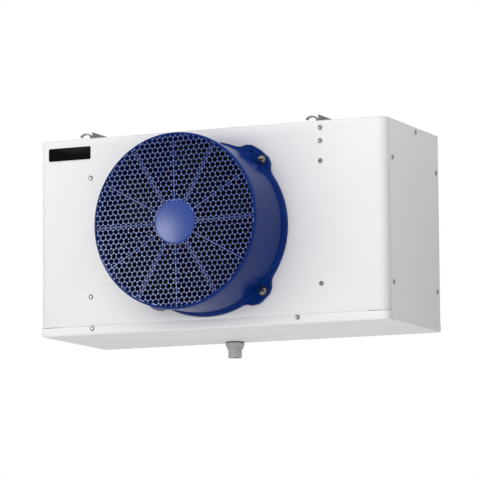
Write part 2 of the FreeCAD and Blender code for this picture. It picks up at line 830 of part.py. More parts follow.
def expansion_valve():
    body = box(liquid_x - 13.0, liquid_x + 13.0, valve_y - 15.0, valve_y + 15.0,
               liquid_z - 16.0, liquid_z + 18.0)
    neck = rod(liquid_x, valve_y, liquid_z + 18.0, 9.0, 6.0, upward)
    head = rod(liquid_x, valve_y, liquid_z + 24.0, 20.0, 11.0, upward)
    outlet = rod(liquid_x, valve_y, liquid_z - 16.0, 7.9, 14.0, downward)
    return join([body, neck, head, outlet])


def distributor():
    z = liquid_z - 30.0
    flare = cone(liquid_x, valve_y, z, 8.5, 15.0, 18.0, downward)
    return join([flare, rod(liquid_x, valve_y, z - 18.0, 15.0, 7.0, downward)])


def feeder_tubes():
    z = liquid_z - 55.0
    made = []
    for row, dx in ((4, -7.0), (0, 7.0)):
        target = tube_low + row * tube_pitch
        drop = z - 28.0 if row else target
        end = V(coil_right + tube_out, tube_col_a, target)
        points = [V(liquid_x + dx, valve_y, z), V(liquid_x + dx, valve_y, drop),
                  V(end.x + 22.0, tube_col_a, target), end]
        made.append(pipe(points, feeder_r, 12.0))
    return Part.makeCompound(made)


def sensing_bulb():
    x = suction_x
    z = suction_z + suction_r + bulb_r + slip_gap
    side = x + 55.0
    crest = liquid_z + 66.0
    bulb = rod(x, bulb_y, z, bulb_r, bulb_l, to_back)
    tail = pipe([V(x, bulb_y + 1.0, z), V(x, bulb_y - 10.0, z), V(side, bulb_y - 10.0, z + 90.0),
                 V(side, valve_y, crest), V(liquid_x, valve_y, crest),
                 V(liquid_x, valve_y, liquid_z + 35.0)], 1.3, 6.0)
    return bulb.fuse(tail)


def bulb_strap():
    x = suction_x
    z = suction_z
    y = bulb_y + 14.0
    wide = 8.0
    wall = 1.0
    top = z + suction_r + bulb_r
    low = rod(x, y, z, suction_r + slip_gap + wall, wide, to_back)
    high = rod(x, y, top, bulb_r + slip_gap + wall, wide, to_back)
    half = bulb_r + slip_gap + wall
    neck = box(x - half, x + half, y, y + wide, z, top)
    cuts = [rod(x, y - 1.0, z, suction_r + slip_gap, wide + 2.0, to_back)]
    cuts.append(rod(x, y - 1.0, top, bulb_r + slip_gap, wide + 2.0, to_back))
    cuts.append(box(x - 4.0, x + 4.0, y - 1.0, y + wide + 1.0, z + suction_r - 1.0, z + suction_r + 2.0))
    return join([low, high, neck]).cut(cuts)


def access_valve():
    z = header_high + 14.0
    stem = rod(suction_x, tube_col_a, z, 4.0, 14.0, upward)
    return join([stem, hexagon(suction_x, tube_col_a, z + 6.0, 11.0, 4.0, upward)])


def access_cap():
    z = header_high + 24.3
    cap = rod(suction_x, tube_col_a, z, 6.0, 9.0, upward)
    return cap.cut(rod(suction_x, tube_col_a, z - 1.0, 4.3, 5.2, upward))


def grommet(x, z, line_r):
    hole_r = line_r + grommet_wall
    bore = line_r + slip_gap
    front = tube(x, back_in - 2.0, z, hole_r + 3.0, bore, 2.0, to_back)
    neck = tube(x, back_in, z, hole_r - slip_gap, bore, sheet, to_back)
    rear = tube(x, back_in + sheet, z, hole_r + 3.0, bore, 2.5, to_back)
    return join([front, neck, rear])


def pipe_grommets():
    return Part.makeCompound([grommet(suction_x, suction_z, suction_r),
                              grommet(liquid_x, liquid_z, liquid_r)])


def terminal_box():
    outer = box(box_x, coil_left, box_y0, box_y1, box_z0, box_z1)
    inner = box(box_x - 1.0, coil_left - sheet, box_y0 + sheet, box_y1 - sheet,
                box_z0 + sheet, box_z1 - sheet)
    cuts = [rod(coil_left - 4.0, cable_hole_y, cable_hole_z, cable_hole_r, 8.0, to_right)]
    cuts.append(rod(conduit_x, box_y1 - 4.0, conduit_z, conduit_r, 8.0, to_back))
    return outer.cut(inner).cut(cuts)


def box_cover():
    gap = slip_gap
    wall = slip_gap + 1.3
    lid = box(box_x - sheet, box_x, box_y0 - wall, box_y1 + wall, box_z0 - wall, box_z1 + wall)
    rim = box(box_x, box_x + 5.0, box_y0 - wall, box_y1 + wall, box_z0 - wall, box_z1 + wall)
    rim = rim.cut(box(box_x - 1.0, box_x + 6.0, box_y0 - gap, box_y1 + gap, box_z0 - gap, box_z1 + gap))
    return join([lid, rim])


def box_screws():
    made = []
    for y, z in ((box_y0 + 10.0, box_z0 + 8.0), (box_y1 - 10.0, box_z1 - 8.0)):
        made.append(cone(box_x - sheet, y, z, 4.4, 2.8, screw_head_h, to_left))
    return Part.makeCompound(made)


def terminal_block():
    x1 = coil_left - sheet
    y0 = box_y0 + 10.0
    z0 = box_z0 + 16.0
    body = box(x1 - 16.0, x1, y0, y0 + 14.0, z0, z0 + 74.0)
    cuts = []
    for i in range(4):
        z = z0 + 6.0 + i * 17.0
        cuts.append(box(x1 - 17.0, x1 - 9.0, y0 + 3.0, y0 + 11.0, z, z + 11.0))
    return body.cut(cuts)


def ground_lug():
    x1 = coil_left - sheet
    y0 = box_y1 - 28.0
    z0 = box_z0 + 14.0
    base = box(x1 - 3.0, x1, y0, y0 + 14.0, z0, z0 + 14.0)
    return join([base, rod(x1 - 3.0, y0 + 7.0, z0 + 7.0, 4.0, 5.0, to_left)])


def cable_grommet():
    rim_r = cable_hole_r + 2.2
    bore = cable_r + slip_gap

    def part(x, r, length):
        return tube(x, cable_hole_y, cable_hole_z, r, bore, length, to_right)

    return join([part(coil_left - sheet - 2.0, rim_r, 2.0),
                 part(coil_left - sheet, cable_hole_r - slip_gap, sheet + plate_t),
                 part(coil_left + plate_t, rim_r, 2.0)])


def motor_lead():
    y0 = motor_y + stator_base_t / 2.0
    points = [fan_point(stator_r - 6.0, duct_angle, y0), fan_point(duct_r, duct_angle, y0),
              fan_point(duct_r, duct_angle, corner_back), V(coil_left + 53.0, cable_hole_y, cable_hole_z),
              V(coil_left - 14.0, cable_hole_y, cable_hole_z)]
    return pipe(points, cable_r, 7.0)


# A hanger rail: a foot on the casing top, a web, two slotted tabs and a hook at the front.
def hanger_rail(web_x):
    z0 = casing_h
    z1 = casing_h + rail_h
    y0 = rail_inset
    foot = box(web_x - rail_t, web_x + rail_foot, y0, rail_back, z0, z0 + rail_t)
    web = box(web_x - rail_t, web_x, y0, rail_back, z0, z1)
    tabs = []
    for y in (slot_front, slot_back):
        tabs.append(box(web_x - tab_w, web_x, y - tab_l / 2.0, y + tab_l / 2.0, z1 - rail_t, z1))
    cx = web_x - hook_set
    hook = tube(cx, y0, z0 + 2.0, hook_r, hook_r - hook_t, hook_l, to_back)
    hook = hook.cut(box(cx - 12.0, cx, y0 - 1.0, y0 + hook_l + 2.0, z0 - 9.0, z0 + 4.4))
    hook = hook.cut(box(cx - 12.0, cx + 12.0, y0 - 1.0, y0 + hook_l + 2.0, z0 - 9.0, z0))
    toe = box(cx + hook_r - hook_t, web_x, y0, y0 + hook_l, z0, z0 + rail_t)
    cuts = []
    x = web_x - slot_inset
    half = slot_len / 2.0 - slot_half
    for y in (slot_front, slot_back):
        cuts.append(box(x - half, x + half, y - slot_half, y + slot_half, z1 - 5.0, z1 + 1.0))
        cuts.append(rod(x - half, y, z1 - 5.0, slot_half, 6.0, upward))
        cuts.append(rod(x + half, y, z1 - 5.0, slot_half, 6.0, upward))
    for sx, sy in rail_screw_places():
        cuts.append(rod(sx, sy, z0 - 2.0, screw_hole_r, 8.0, upward))
    return join([foot, web, hook, toe] + tabs).cut(cuts)


def nameplate():
    x0 = label_side - half_w
    z1 = casing_h - label_top
    pts = [V(x0, 0, z1 - label_h), V(x0 + label_w, 0, z1 - label_h), V(x0 + label_w, 0, z1), V(x0, 0, z1)]
    return outline(pts, [label_r] * 4).extrude(to_front * label_t)


save("front_panel", front_panel())
save("top_panel", top_panel())
save("end_panel_right", end_panel())
save("end_panel_left", mirror_x(end_panel()))
save("coil_plate_left", coil_plate(coil_left, 1.0))
save("coil_plate_right", coil_plate(coil_right, -1.0))
save("rear_plate_left", rear_plate_left())
save("rear_plate_right", rear_plate_right())
save("drain_pan", drain_pan())
save("drain_fitting", drain_fitting())
save("drain_gasket", drain_gasket())
save("drain_locknut", drain_locknut())
save("fan_ring", fan_ring())
save("ring_gasket", ring_gasket())
save("ring_bolts", ring_bolts())
save("ring_nuts", ring_nuts())
save("fan_guard", fan_guard())
save("hub_cap", hub_cap())
save("motor_stator", motor_stator())
save("motor_screws", motor_screws())
save("motor_rotor", motor_rotor())
save("impeller", impeller())
save("motor_lead", motor_lead())
save("cable_grommet", cable_grommet())
save("terminal_box", terminal_box())
save("box_cover", box_cover())
save("box_screws", box_screws())
save("terminal_block", terminal_block())
save("ground_lug", ground_lug())
save("fin_pack", fin_pack())
save("coil_tubes", straight_tubes())
save("return_bends_left", left_bends())
save("return_bends_right", right_bends())
save("suction_header", suction_header())
save("suction_line", suction_line())
save("liquid_line", liquid_line())
save("expansion_valve", expansion_valve())
save("distributor", distributor())
save("feeder_tubes", feeder_tubes())
save("sensing_bulb", sensing_bulb())
save("bulb_strap", bulb_strap())
save("access_valve", access_valve())
save("access_cap", access_cap())
save("pipe_grommets", pipe_grommets())
save("hanger_rail_left", hanger_rail(rail_left))
save("hanger_rail_right", hanger_rail(rail_right))
save("rail_screws", rail_screw_group())
save("front_screws", front_screw_group(front_screws))
save("pan_screws", front_screw_group(pan_screws))
save("side_screws_right", side_screw_group())
save("side_screws_left", mirror_x(side_screw_group()))
save("nameplate", nameplate())
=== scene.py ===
import json
import math

import bpy
from mathutils import Matrix, Vector

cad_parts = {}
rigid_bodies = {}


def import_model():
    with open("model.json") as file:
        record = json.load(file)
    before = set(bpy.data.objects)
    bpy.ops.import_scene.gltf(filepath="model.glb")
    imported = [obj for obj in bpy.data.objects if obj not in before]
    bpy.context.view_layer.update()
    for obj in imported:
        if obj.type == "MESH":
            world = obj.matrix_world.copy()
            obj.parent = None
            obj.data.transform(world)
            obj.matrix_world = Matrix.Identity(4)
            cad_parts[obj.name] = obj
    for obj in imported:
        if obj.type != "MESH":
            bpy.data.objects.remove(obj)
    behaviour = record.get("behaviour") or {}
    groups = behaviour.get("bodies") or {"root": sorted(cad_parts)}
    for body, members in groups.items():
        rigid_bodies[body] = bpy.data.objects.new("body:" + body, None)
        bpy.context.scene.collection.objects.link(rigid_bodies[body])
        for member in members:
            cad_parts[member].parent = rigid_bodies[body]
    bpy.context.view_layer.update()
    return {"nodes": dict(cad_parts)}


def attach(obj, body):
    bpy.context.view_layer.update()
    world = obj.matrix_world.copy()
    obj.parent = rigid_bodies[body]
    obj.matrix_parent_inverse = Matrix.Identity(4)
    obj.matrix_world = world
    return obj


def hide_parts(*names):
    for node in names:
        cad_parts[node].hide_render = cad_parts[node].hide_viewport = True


for startUp in list(bpy.data.objects):
    bpy.data.objects.remove(startUp)
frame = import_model()
print("frame loaded:", len(frame["nodes"]), "nodes")

# Sizes are in millimetres: x from the middle of the casing, y back from its front,
# z up from the seam between the front panel and the drain pan.
casing = {"seat": (29.0, -165.0, -377.0), "halfW": 360.0, "depth": 280.0, "height": 364.0,
          "sheet": 1.2, "cornerR": 17.0, "cornerSteps": 12, "cornerBack": 26.0}
fan = {"x": -3.5, "z": 171.5}
facing = 0.99  # from here on a normal counts as square to an axis
clear = 1.0  # how far a small cutter stands out of the piece it cuts
weld = 0.000001  # points nearer than this, in metres, become one


def spot(x, y, z):
    seat = casing["seat"]
    return Vector((x + seat[0], y + seat[1], z + seat[2])) / 1000.0


# Lengths along the axes, as an operator takes them.
def push(x=0.0, y=0.0, z=0.0):
    return Vector((x / 1000.0, y / 1000.0, z / 1000.0))


# The x and z of a place round the fan's axis; side and level mirror it across and up.
def roundFan(r, turn, side=1.0, level=1.0):
    a = math.radians(turn)
    return fan["x"] + side * r * math.cos(a), fan["z"] + level * r * math.sin(a)


def leaveAll():
    if bpy.context.object and bpy.context.object.mode == "EDIT":
        bpy.ops.object.mode_set(mode="OBJECT")
    bpy.ops.object.select_all(action="DESELECT")


def pick(obj):
    leaveAll()
    obj.select_set(True)
    bpy.context.view_layer.objects.active = obj


def editAll(obj):
    pick(obj)
    bpy.ops.object.mode_set(mode="EDIT")
    bpy.ops.mesh.select_all(action="SELECT")


# Faces picked in object mode by a test on their middle and normal.
def pickFaces(obj, test):
    pick(obj)
    bpy.ops.object.mode_set(mode="EDIT")
    bpy.ops.mesh.select_mode(type="FACE")
    bpy.ops.mesh.select_all(action="DESELECT")
    bpy.ops.object.mode_set(mode="OBJECT")
    place = obj.matrix_world
    for face in obj.data.polygons:
        face.select = test(place @ face.center, face.normal)
    bpy.ops.object.mode_set(mode="EDIT")


# The piece gets its first coat all over and the second one on the faces that pass the test.
def coatFaces(obj, first, second, test):
    obj.data.materials.clear()
    obj.data.materials.append(first)
    obj.data.materials.append(second)
    pickFaces(obj, test)
    obj.active_material_index = 1
    bpy.ops.object.material_slot_assign()
    bpy.ops.object.mode_set(mode="OBJECT")


# A line drawn point by point: a small plane collapsed to one point and extruded along.
def drawLine(name, points, closed=False):
    leaveAll()
    bpy.ops.mesh.primitive_plane_add(size=0.01, location=points[0])
    obj = bpy.context.object
    obj.name = name
    bpy.ops.object.mode_set(mode="EDIT")
    bpy.ops.mesh.select_mode(type="VERT")
    bpy.ops.mesh.select_all(action="SELECT")
    bpy.ops.mesh.merge(type="CENTER")
    route = list(points) + ([points[0]] if closed else [])
    for a, b in zip(route, route[1:]):
        bpy.ops.mesh.extrude_vertices_move(TRANSFORM_OT_translate={"value": b - a})
    bpy.ops.mesh.select_all(action="SELECT")
    bpy.ops.mesh.remove_doubles(threshold=weld)
    return obj


def setOutward():
    bpy.ops.mesh.select_all(action="SELECT")
    bpy.ops.mesh.remove_doubles(threshold=weld)
    bpy.ops.mesh.normals_make_consistent(inside=False)
    bpy.ops.object.mode_set(mode="OBJECT")


# A solid made by drawing a closed outline and extruding it.
def block(name, points, push):
    obj = drawLine(name, points, closed=True)
    bpy.ops.mesh.edge_face_add()
    bpy.ops.mesh.extrude_region_move(TRANSFORM_OT_translate={"value": push})
    setOutward()
    return obj


# A strip of sheet: an open line extruded, then given its thickness.
def foldedSheet(name, points, push, thick, side):
    obj = drawLine(name, points)
    bpy.ops.mesh.extrude_region_move(TRANSFORM_OT_translate={"value": push})
    bpy.ops.object.mode_set(mode="OBJECT")
    modify(obj, "SOLIDIFY", thickness=thick / 1000.0, offset=side, use_even_offset=True)
    editAll(obj)
    setOutward()
    return obj


# A turned piece: a section drawn as (radius, y) on the line of an axis, then spun.
def turned(name, section, centre, axis, steps, closed=False):
    out = Vector((1, 0, 0))
    obj = drawLine(name, [centre + out * (r / 1000.0) + axis * (h / 1000.0) for r, h in section], closed)
    bpy.ops.mesh.select_all(action="SELECT")
    bpy.ops.mesh.spin(steps=steps, angle=math.tau, center=centre, axis=axis)
    setOutward()
    return obj


# A modifier added and applied at once.
def modify(obj, kind, **values):
    pick(obj)
    made = obj.modifiers.new(kind.title(), kind)
    for key, value in values.items():
        setattr(made, key, value)
    bpy.ops.object.modifier_apply(modifier=made.name)


# The manifold solver wants closed shapes. It may split a flat face a little differently from run to run.
def carve(obj, cutter, how="DIFFERENCE"):
    modify(obj, "BOOLEAN", object=cutter, operation=how, solver="MANIFOLD")
    bpy.data.objects.remove(cutter)
    if not obj.data.polygons:
        raise RuntimeError(obj.name + " was cut away")


def soften(obj, width, segments=2, limit=35.0):
    modify(obj, "BEVEL", width=width / 1000.0, segments=segments, limit_method="ANGLE",
           angle_limit=math.radians(limit), use_clamp_overlap=True, miter_outer="MITER_ARC")


def joined(name, parts):
    leaveAll()
    for part in parts:
        part.select_set(True)
    bpy.context.view_layer.objects.active = parts[0]
    if len(parts) > 1:
        bpy.ops.object.join()
    parts[0].name = name
    return parts[0]


def copyOf(obj):
    pick(obj)
    bpy.ops.object.duplicate(linked=False)
    return bpy.context.object


# The start of a box: a cube scaled and placed, whose edges are softened afterwards.
def slab(name, x0, x1, y0, y1, z0, z1):
    leaveAll()
    low, high = spot(x0, y0, z0), spot(x1, y1, z1)
    bpy.ops.mesh.primitive_cube_add(size=1.0, location=(low + high) / 2.0, scale=high - low)
    obj = bpy.context.object
    obj.name = name
    bpy.ops.object.transform_apply(location=False, rotation=False, scale=True)
    return obj


# A round cutter along y or z.
def rod(name, centre, r, depth, axis, sides):
    leaveAll()
    turn = {"y": (math.pi / 2.0, 0, 0), "z": (0, 0, 0)}[axis]
    bpy.ops.mesh.primitive_cylinder_add(vertices=sides, radius=r / 1000.0, depth=depth / 1000.0,
                                        location=centre, rotation=turn)
    obj = bpy.context.object
    obj.name = name
    bpy.ops.object.transform_apply(location=True, rotation=True, scale=True)
    return obj


# Corners of a flat outline rounded by arcs; each corner is (a, b, radius).
def rounded(corners, steps):
    points = []
    count = len(corners)
    for i, (a, b, r) in enumerate(corners):
        if r <= 0.0:
            points.append((a, b))
            continue
        here = Vector((a, b))
        back = (Vector(corners[i - 1][:2]) - here).normalized()
        ahead = (Vector(corners[(i + 1) % count][:2]) - here).normalized()
        half = back.angle(ahead) / 2.0
        centre = here + (back + ahead).normalized() * (r / math.sin(half))
        start = here + back * (r / math.tan(half)) - centre
        end = here + ahead * (r / math.tan(half)) - centre
        sweep = start.angle_signed(end)
        for k in range(steps + 1):
            turn = -sweep * k / steps
            c, s = math.cos(turn), math.sin(turn)
            points.append((centre.x + start.x * c - start.y * s, centre.y + start.x * s + start.y * c))
    return points


# The last step of each piece: its place goes into the mesh, and it gets its coat, body and nodes.
def finish(obj, name, finishName, nodes=(), body="casing", smooth=38.0, coat=None):
    pick(obj)
    bpy.ops.object.transform_apply(location=True, rotation=True, scale=True)
    bpy.ops.object.shade_smooth_by_angle(angle=math.radians(smooth))
    obj.name = name
    obj.data.name = name
    slots = obj.data.materials
    if not any(slots):
        slots.clear()
        slots.append(None)
    for i, given in enumerate(slots):
        slots[i] = given or coat or finishes[finishName]
    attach(obj, body)
    if nodes:
        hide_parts(*nodes)
    print(name, "done,", len(obj.data.polygons), "faces")


def makeGroup(name, inputs, outputs):
    group = bpy.data.node_groups.new(name, "ShaderNodeTree")
    for label, kind, value in inputs:
        group.interface.new_socket(name=label, in_out="INPUT", socket_type=kind).default_value = value
    for label, kind in outputs:
        group.interface.new_socket(name=label, in_out="OUTPUT", socket_type=kind)
    return group, group.nodes.new("NodeGroupInput"), group.nodes.new("NodeGroupOutput")


def addNode(tree, kind, **values):
    node = tree.nodes.new(kind)
    for key, value in values.items():
        if key in node.inputs:
            node.inputs[key].default_value = value
        else:
            setattr(node, key, value)
    return node


# Slow drift of colour and gloss over a surface, with a fine grain for its height.
def makeCoatGroup():
    colour, number = "NodeSocketColor", "NodeSocketFloat"
    group, given, out = makeGroup(
        "coat", [("Base", colour, (1, 1, 1, 1)), ("Shade", colour, (1, 1, 1, 1)), ("Patch", number, 6.0),
                 ("Gloss", number, 0.3), ("Spread", number, 0.05), ("Grain", number, 600.0)],
        [("Color", colour), ("Roughness", number), ("Height", number)])
    link = group.links.new
    where = addNode(group, "ShaderNodeTexCoord")
    drift = addNode(group, "ShaderNodeTexNoise", Detail=3.0, Roughness=0.55)
    link(where.outputs["Object"], drift.inputs["Vector"])
    link(given.outputs["Patch"], drift.inputs["Scale"])
    level = addNode(group, "ShaderNodeMapRange")
    level.inputs["From Min"].default_value = 0.35
    level.inputs["From Max"].default_value = 0.65
    link(drift.outputs["Fac"], level.inputs["Value"])
    blend = addNode(group, "ShaderNodeMix", data_type="RGBA")
    link(level.outputs["Result"], blend.inputs["Factor"])
    link(given.outputs["Base"], blend.inputs["A"])
    link(given.outputs["Shade"], blend.inputs["B"])
    link(blend.outputs["Result"], out.inputs["Color"])
    smears = addNode(group, "ShaderNodeTexNoise", Scale=22.0, Detail=4.0)
    link(where.outputs["Object"], smears.inputs["Vector"])
    offset = addNode(group, "ShaderNodeMath", operation="SUBTRACT")
    offset.inputs[1].default_value = 0.5
    link(smears.outputs["Fac"], offset.inputs[0])
    swing = addNode(group, "ShaderNodeMath", operation="MULTIPLY_ADD")
    link(offset.outputs[0], swing.inputs[0])
    link(given.outputs["Spread"], swing.inputs[1])
    link(given.outputs["Gloss"], swing.inputs[2])
    link(swing.outputs[0], out.inputs["Roughness"])
    grain = addNode(group, "ShaderNodeTexNoise", Detail=2.0, Roughness=0.5)
    link(where.outputs["Object"], grain.inputs["Vector"])
    link(given.outputs["Grain"], grain.inputs["Scale"])
    link(grain.outputs["Fac"], out.inputs["Height"])
    return group


# Flat crystals of zinc, each a little lighter or darker than the next.
def makeSpangleGroup():
    colour, number = "NodeSocketColor", "NodeSocketFloat"
    group, given, out = makeGroup(
        "spangle", [("Light", colour, (1, 1, 1, 1)), ("Dark", colour, (0.5, 0.5, 0.5, 1)), ("Size", number, 120.0)],
        [("Color", colour), ("Height", number)])
    link = group.links.new
    where = addNode(group, "ShaderNodeTexCoord")
    cells = addNode(group, "ShaderNodeTexVoronoi")
    link(where.outputs["Object"], cells.inputs["Vector"])
    link(given.outputs["Size"], cells.inputs["Scale"])
    split = addNode(group, "ShaderNodeSeparateColor")
    link(cells.outputs["Color"], split.inputs["Color"])
    blend = addNode(group, "ShaderNodeMix", data_type="RGBA")
    link(split.outputs["Red"], blend.inputs["Factor"])
    link(given.outputs["Light"], blend.inputs["A"])
    link(given.outputs["Dark"], blend.inputs["B"])
    link(blend.outputs["Result"], out.inputs["Color"])
    link(split.outputs["Green"], out.inputs["Height"])
    return group


coatGroup = makeCoatGroup()
spangleGroup = makeSpangleGroup()


def grey(value):
    return (value, value, value, 1.0)


# A new material; its even values are set on the shader itself.
def startFinish(name, **sockets):
    material = bpy.data.materials.new(name)
    material.use_nodes = True
    shader = material.node_tree.nodes["Principled BSDF"]
    for key, value in sockets.items():
        shader.inputs[key.replace("_", " ")].default_value = value
    return material, shader


def coated(name, base, shade, patch, gloss, spread, grain, bump, **sockets):
    material, shader = startFinish(name, **sockets)
    tree = material.node_tree
    coat = tree.nodes.new("ShaderNodeGroup")
    coat.node_tree = coatGroup
    for label, value in (("Base", base), ("Shade", shade), ("Patch", patch), ("Gloss", gloss),
                         ("Spread", spread), ("Grain", grain)):
        coat.inputs[label].default_value = value
    tree.links.new(coat.outputs["Color"], shader.inputs["Base Color"])
    tree.links.new(coat.outputs["Roughness"], shader.inputs["Roughness"])
    dents = addNode(tree, "ShaderNodeBump", Strength=0.5, Distance=bump / 1000.0)
    tree.links.new(coat.outputs["Height"], dents.inputs["Height"])
    tree.links.new(dents.outputs["Normal"], shader.inputs["Normal"])
    return material


def spangled(name, light, dark, size, gloss, **sockets):
    material, shader = startFinish(name, Roughness=gloss, **sockets)
    tree = material.node_tree
    zinc = tree.nodes.new("ShaderNodeGroup")
    zinc.node_tree = spangleGroup
    for label, value in (("Light", light), ("Dark", dark), ("Size", size)):
        zinc.inputs[label].default_value = value
    tree.links.new(zinc.outputs["Color"], shader.inputs["Base Color"])
    dents = addNode(tree, "ShaderNodeBump", Strength=0.3, Distance=0.00005)
    tree.links.new(zinc.outputs["Height"], dents.inputs["Height"])
    tree.links.new(dents.outputs["Normal"], shader.inputs["Normal"])
    return material


# A coat's numbers: patches to the metre, roughness and its swing, grains to the metre, depth of the grain in mm.
finishes = {
    "white_coat": coated("white_coat", (0.86, 0.852, 0.858, 1), (0.845, 0.838, 0.846, 1), 3.0, 0.5, 0.10, 900.0, 0.03,
                         Specular_IOR_Level=0.08),
    "galvanised": spangled("galvanised", grey(0.26), grey(0.17), 160.0, 0.65, Metallic=0.5),
    "zinc_plate": coated("zinc_plate", (0.31, 0.31, 0.305, 1), (0.24, 0.243, 0.246, 1), 90.0, 0.30, 0.10, 2200.0, 0.01,
                         Metallic=1.0),
    "blue_plastic": coated("blue_plastic", (0.003, 0.026, 0.165, 1), (0.003, 0.022, 0.145, 1), 9.0, 0.20, 0.06,
                           1500.0, 0.008, IOR=1.2, Specular_IOR_Level=0.31),
    "black_plastic": coated("black_plastic", grey(0.006), grey(0.009), 12.0, 0.7, 0.12, 1200.0, 0.03,
                            Specular_IOR_Level=0.1),
    "grey_plastic": coated("grey_plastic", (0.43, 0.41, 0.415, 1), (0.38, 0.365, 0.37, 1), 30.0, 0.42, 0.1,
                           1400.0, 0.02),
    "copper_tube": coated("copper_tube", (0.62, 0.30, 0.19, 1), (0.36, 0.16, 0.10, 1), 26.0, 0.34, 0.2, 900.0, 0.01,
                          Metallic=1.0),
    "brass_body": coated("brass_body", (0.66, 0.48, 0.20, 1), (0.48, 0.33, 0.13, 1), 40.0, 0.32, 0.15, 1500.0, 0.01,
                         Metallic=1.0),
    # The fins are made a dull mid grey with little metal sheen: partly their own dull aluminium, partly painted shade
    # for the inside of the coil seen through the guard.
    "fin_aluminium": coated("fin_aluminium", grey(0.16), grey(0.12), 14.0, 0.7, 0.12, 700.0, 0.02, Metallic=0.2,
                            Specular_IOR_Level=0.1),
    "black_enamel": coated("black_enamel", grey(0.014), grey(0.02), 20.0, 0.35, 0.12, 800.0, 0.03),
    "steel_part": coated("steel_part", grey(0.46), grey(0.36), 30.0, 0.36, 0.15, 1500.0, 0.01, Metallic=1.0),
    "black_rubber": coated("black_rubber", grey(0.012), grey(0.02), 30.0, 0.65, 0.1, 1800.0, 0.03),
    "plate_face": coated("plate_face", grey(0.002), grey(0.003), 40.0, 0.40, 0.08, 1500.0, 0.006,
                         Specular_IOR_Level=0.03),
}
# The inner side of the sheet: a backing coat, made near black as painted shade for the inside of the casing seen
# through the guard.
backingCoatAndShade = coated("backingCoatAndShade", grey(0.022), grey(0.017), 14.0, 0.7, 0.1, 900.0, 0.02, Specular_IOR_Level=0.1)
glossyBlue = coated("glossyBlue", (0.007, 0.042, 0.26, 1), (0.006, 0.037, 0.24, 1), 9.0, 0.40, 0.08, 1500.0, 0.012,
                    IOR=1.42)
# A copy of the guard's blue for the ribs, lighter than the rim's and a little darker than the webs': painted light.
ribBluePaintedLight = coated("ribBluePaintedLight", (0.008, 0.035, 0.22, 1), (0.007, 0.031, 0.20, 1), 9.0, 0.42, 0.08, 1500.0, 0.012,
                 IOR=1.5, Specular_IOR_Level=0.38)
# A lighter copy of the guard's blue for the fronts of the webs. Its extra lightness is painted light, standing for the
# sheen the webs catch.
webBluePaintedLight = coated("webBluePaintedLight", (0.017, 0.062, 0.36, 1), (0.015, 0.055, 0.33, 1), 9.0, 0.42, 0.08, 1500.0, 0.012,
                 IOR=1.5, Specular_IOR_Level=0.9)
# Near-black blue for the walls inside the cells: painted shade, since these walls are the guard's own blue plastic and
# look black only for lack of light.
paintedShadeBore = coated("paintedShadeBore", (0.0005, 0.0012, 0.007, 1), (0.0004, 0.001, 0.006, 1), 9.0, 0.6, 0.08, 1500.0, 0.012,
                  Specular_IOR_Level=0.05)
for node in frame["nodes"].values():
    for i, given in enumerate(node.data.materials):
        node.data.materials[i] = finishes[given.name.split(".")[0]]
print("finishes mixed:", len(finishes))


# The casing in plan: up the left end, round the front corners and back down the right end.
def planLine(half, back):
    r = casing["cornerR"]
    corners = [(-half, back, 0.0), (-half, 0.0, r), (half, 0.0, r), (half, back, 0.0)]
    return rounded(corners, casing["cornerSteps"])


frontPanelValues = {"foot": 0.5, "top": 362.8, "edge": 0.35, "hole": 162.0, "holeL": 10.0, "holeSides": 256,
                    "hemUp": 12.0, "hemIn": 40.0, "hemEdge": 0.2, "leg": (18.0, 52.0)}


# The wrapped front, with a hem behind its foot and a stiffening leg behind each corner.
def makeFrontPanel():
    v = frontPanelValues
    half, t = casing["halfW"], casing["sheet"]
    line = planLine(half, casing["cornerBack"])
    panel = foldedSheet("frontPanel", [spot(x, y, v["foot"]) for x, y in line], push(z=v["top"] - v["foot"]), t, -1.0)
    carve(panel, rod("hole", spot(fan["x"], 0.0, fan["z"]), v["hole"], v["holeL"], "y", v["holeSides"]))
    soften(panel, v["edge"])
    inner = half - v["hemIn"]
    extras = [slab("hem", -inner, inner, t, 2 * t, -v["hemUp"], v["hemUp"])]
    for side in (-1.0, 1.0):
        a, b = side * (half - 2 * t), side * (half - t)
        extras.append(slab("leg", min(a, b), max(a, b), *v["leg"], v["hemUp"], v["top"] - t))
    for part in extras:
        soften(part, v["hemEdge"])
    finish(joined("frontPanel", [panel] + extras), "frontPanel", "white_coat", ["front_panel"])


topPanelValues = {"edge": 0.4, "dropX": (-236.0, 216.0), "dropZ": (342.0, 363.7)}


# The lid and its drop behind the coil; only their outer sides are painted white, their inner sides a near-black
# backing coat that also serves as painted shade for the inside of the casing.
def makeTopPanel():
    v = topPanelValues
    t, high, back = casing["sheet"], casing["height"], casing["depth"]
    lid = block("topPanel", [spot(x, y, high - t) for x, y in planLine(casing["halfW"], back)], push(z=t))
    drop = slab("drop", *v["dropX"], back - t, back, *v["dropZ"])
    soften(lid, v["edge"])
    soften(drop, v["edge"])
    coatFaces(lid, finishes["white_coat"], backingCoatAndShade, lambda at, normal: normal.z < -facing)
    coatFaces(drop, finishes["white_coat"], backingCoatAndShade, lambda at, normal: normal.y < -facing)
    finish(joined("topPanel", [lid, drop]), "topPanel", "white_coat", ["top_panel"])


endPanelValues = {"flange": 14.0, "bend": 2.6, "bendSteps": 6, "foot": -15.5, "top": 362.8, "gap": 0.3, "edge": 0.35}


def makeEndPanels():
    v = endPanelValues
    half, back = casing["halfW"], casing["depth"]
    for side, name, nodeName in ((1.0, "endPanelRight", "end_panel_right"), (-1.0, "endPanelLeft", "end_panel_left")):
        line = rounded([(side * (half - v["flange"]), back, 0.0), (side * half, back, v["bend"]),
                        (side * half, casing["cornerBack"] + v["gap"], 0.0)], v["bendSteps"])
        panel = foldedSheet(name, [spot(x, y, v["foot"]) for x, y in line], push(z=v["top"] - v["foot"]),
                            casing["sheet"], side)
        soften(panel, v["edge"])
        finish(panel, name, "white_coat", [nodeName])


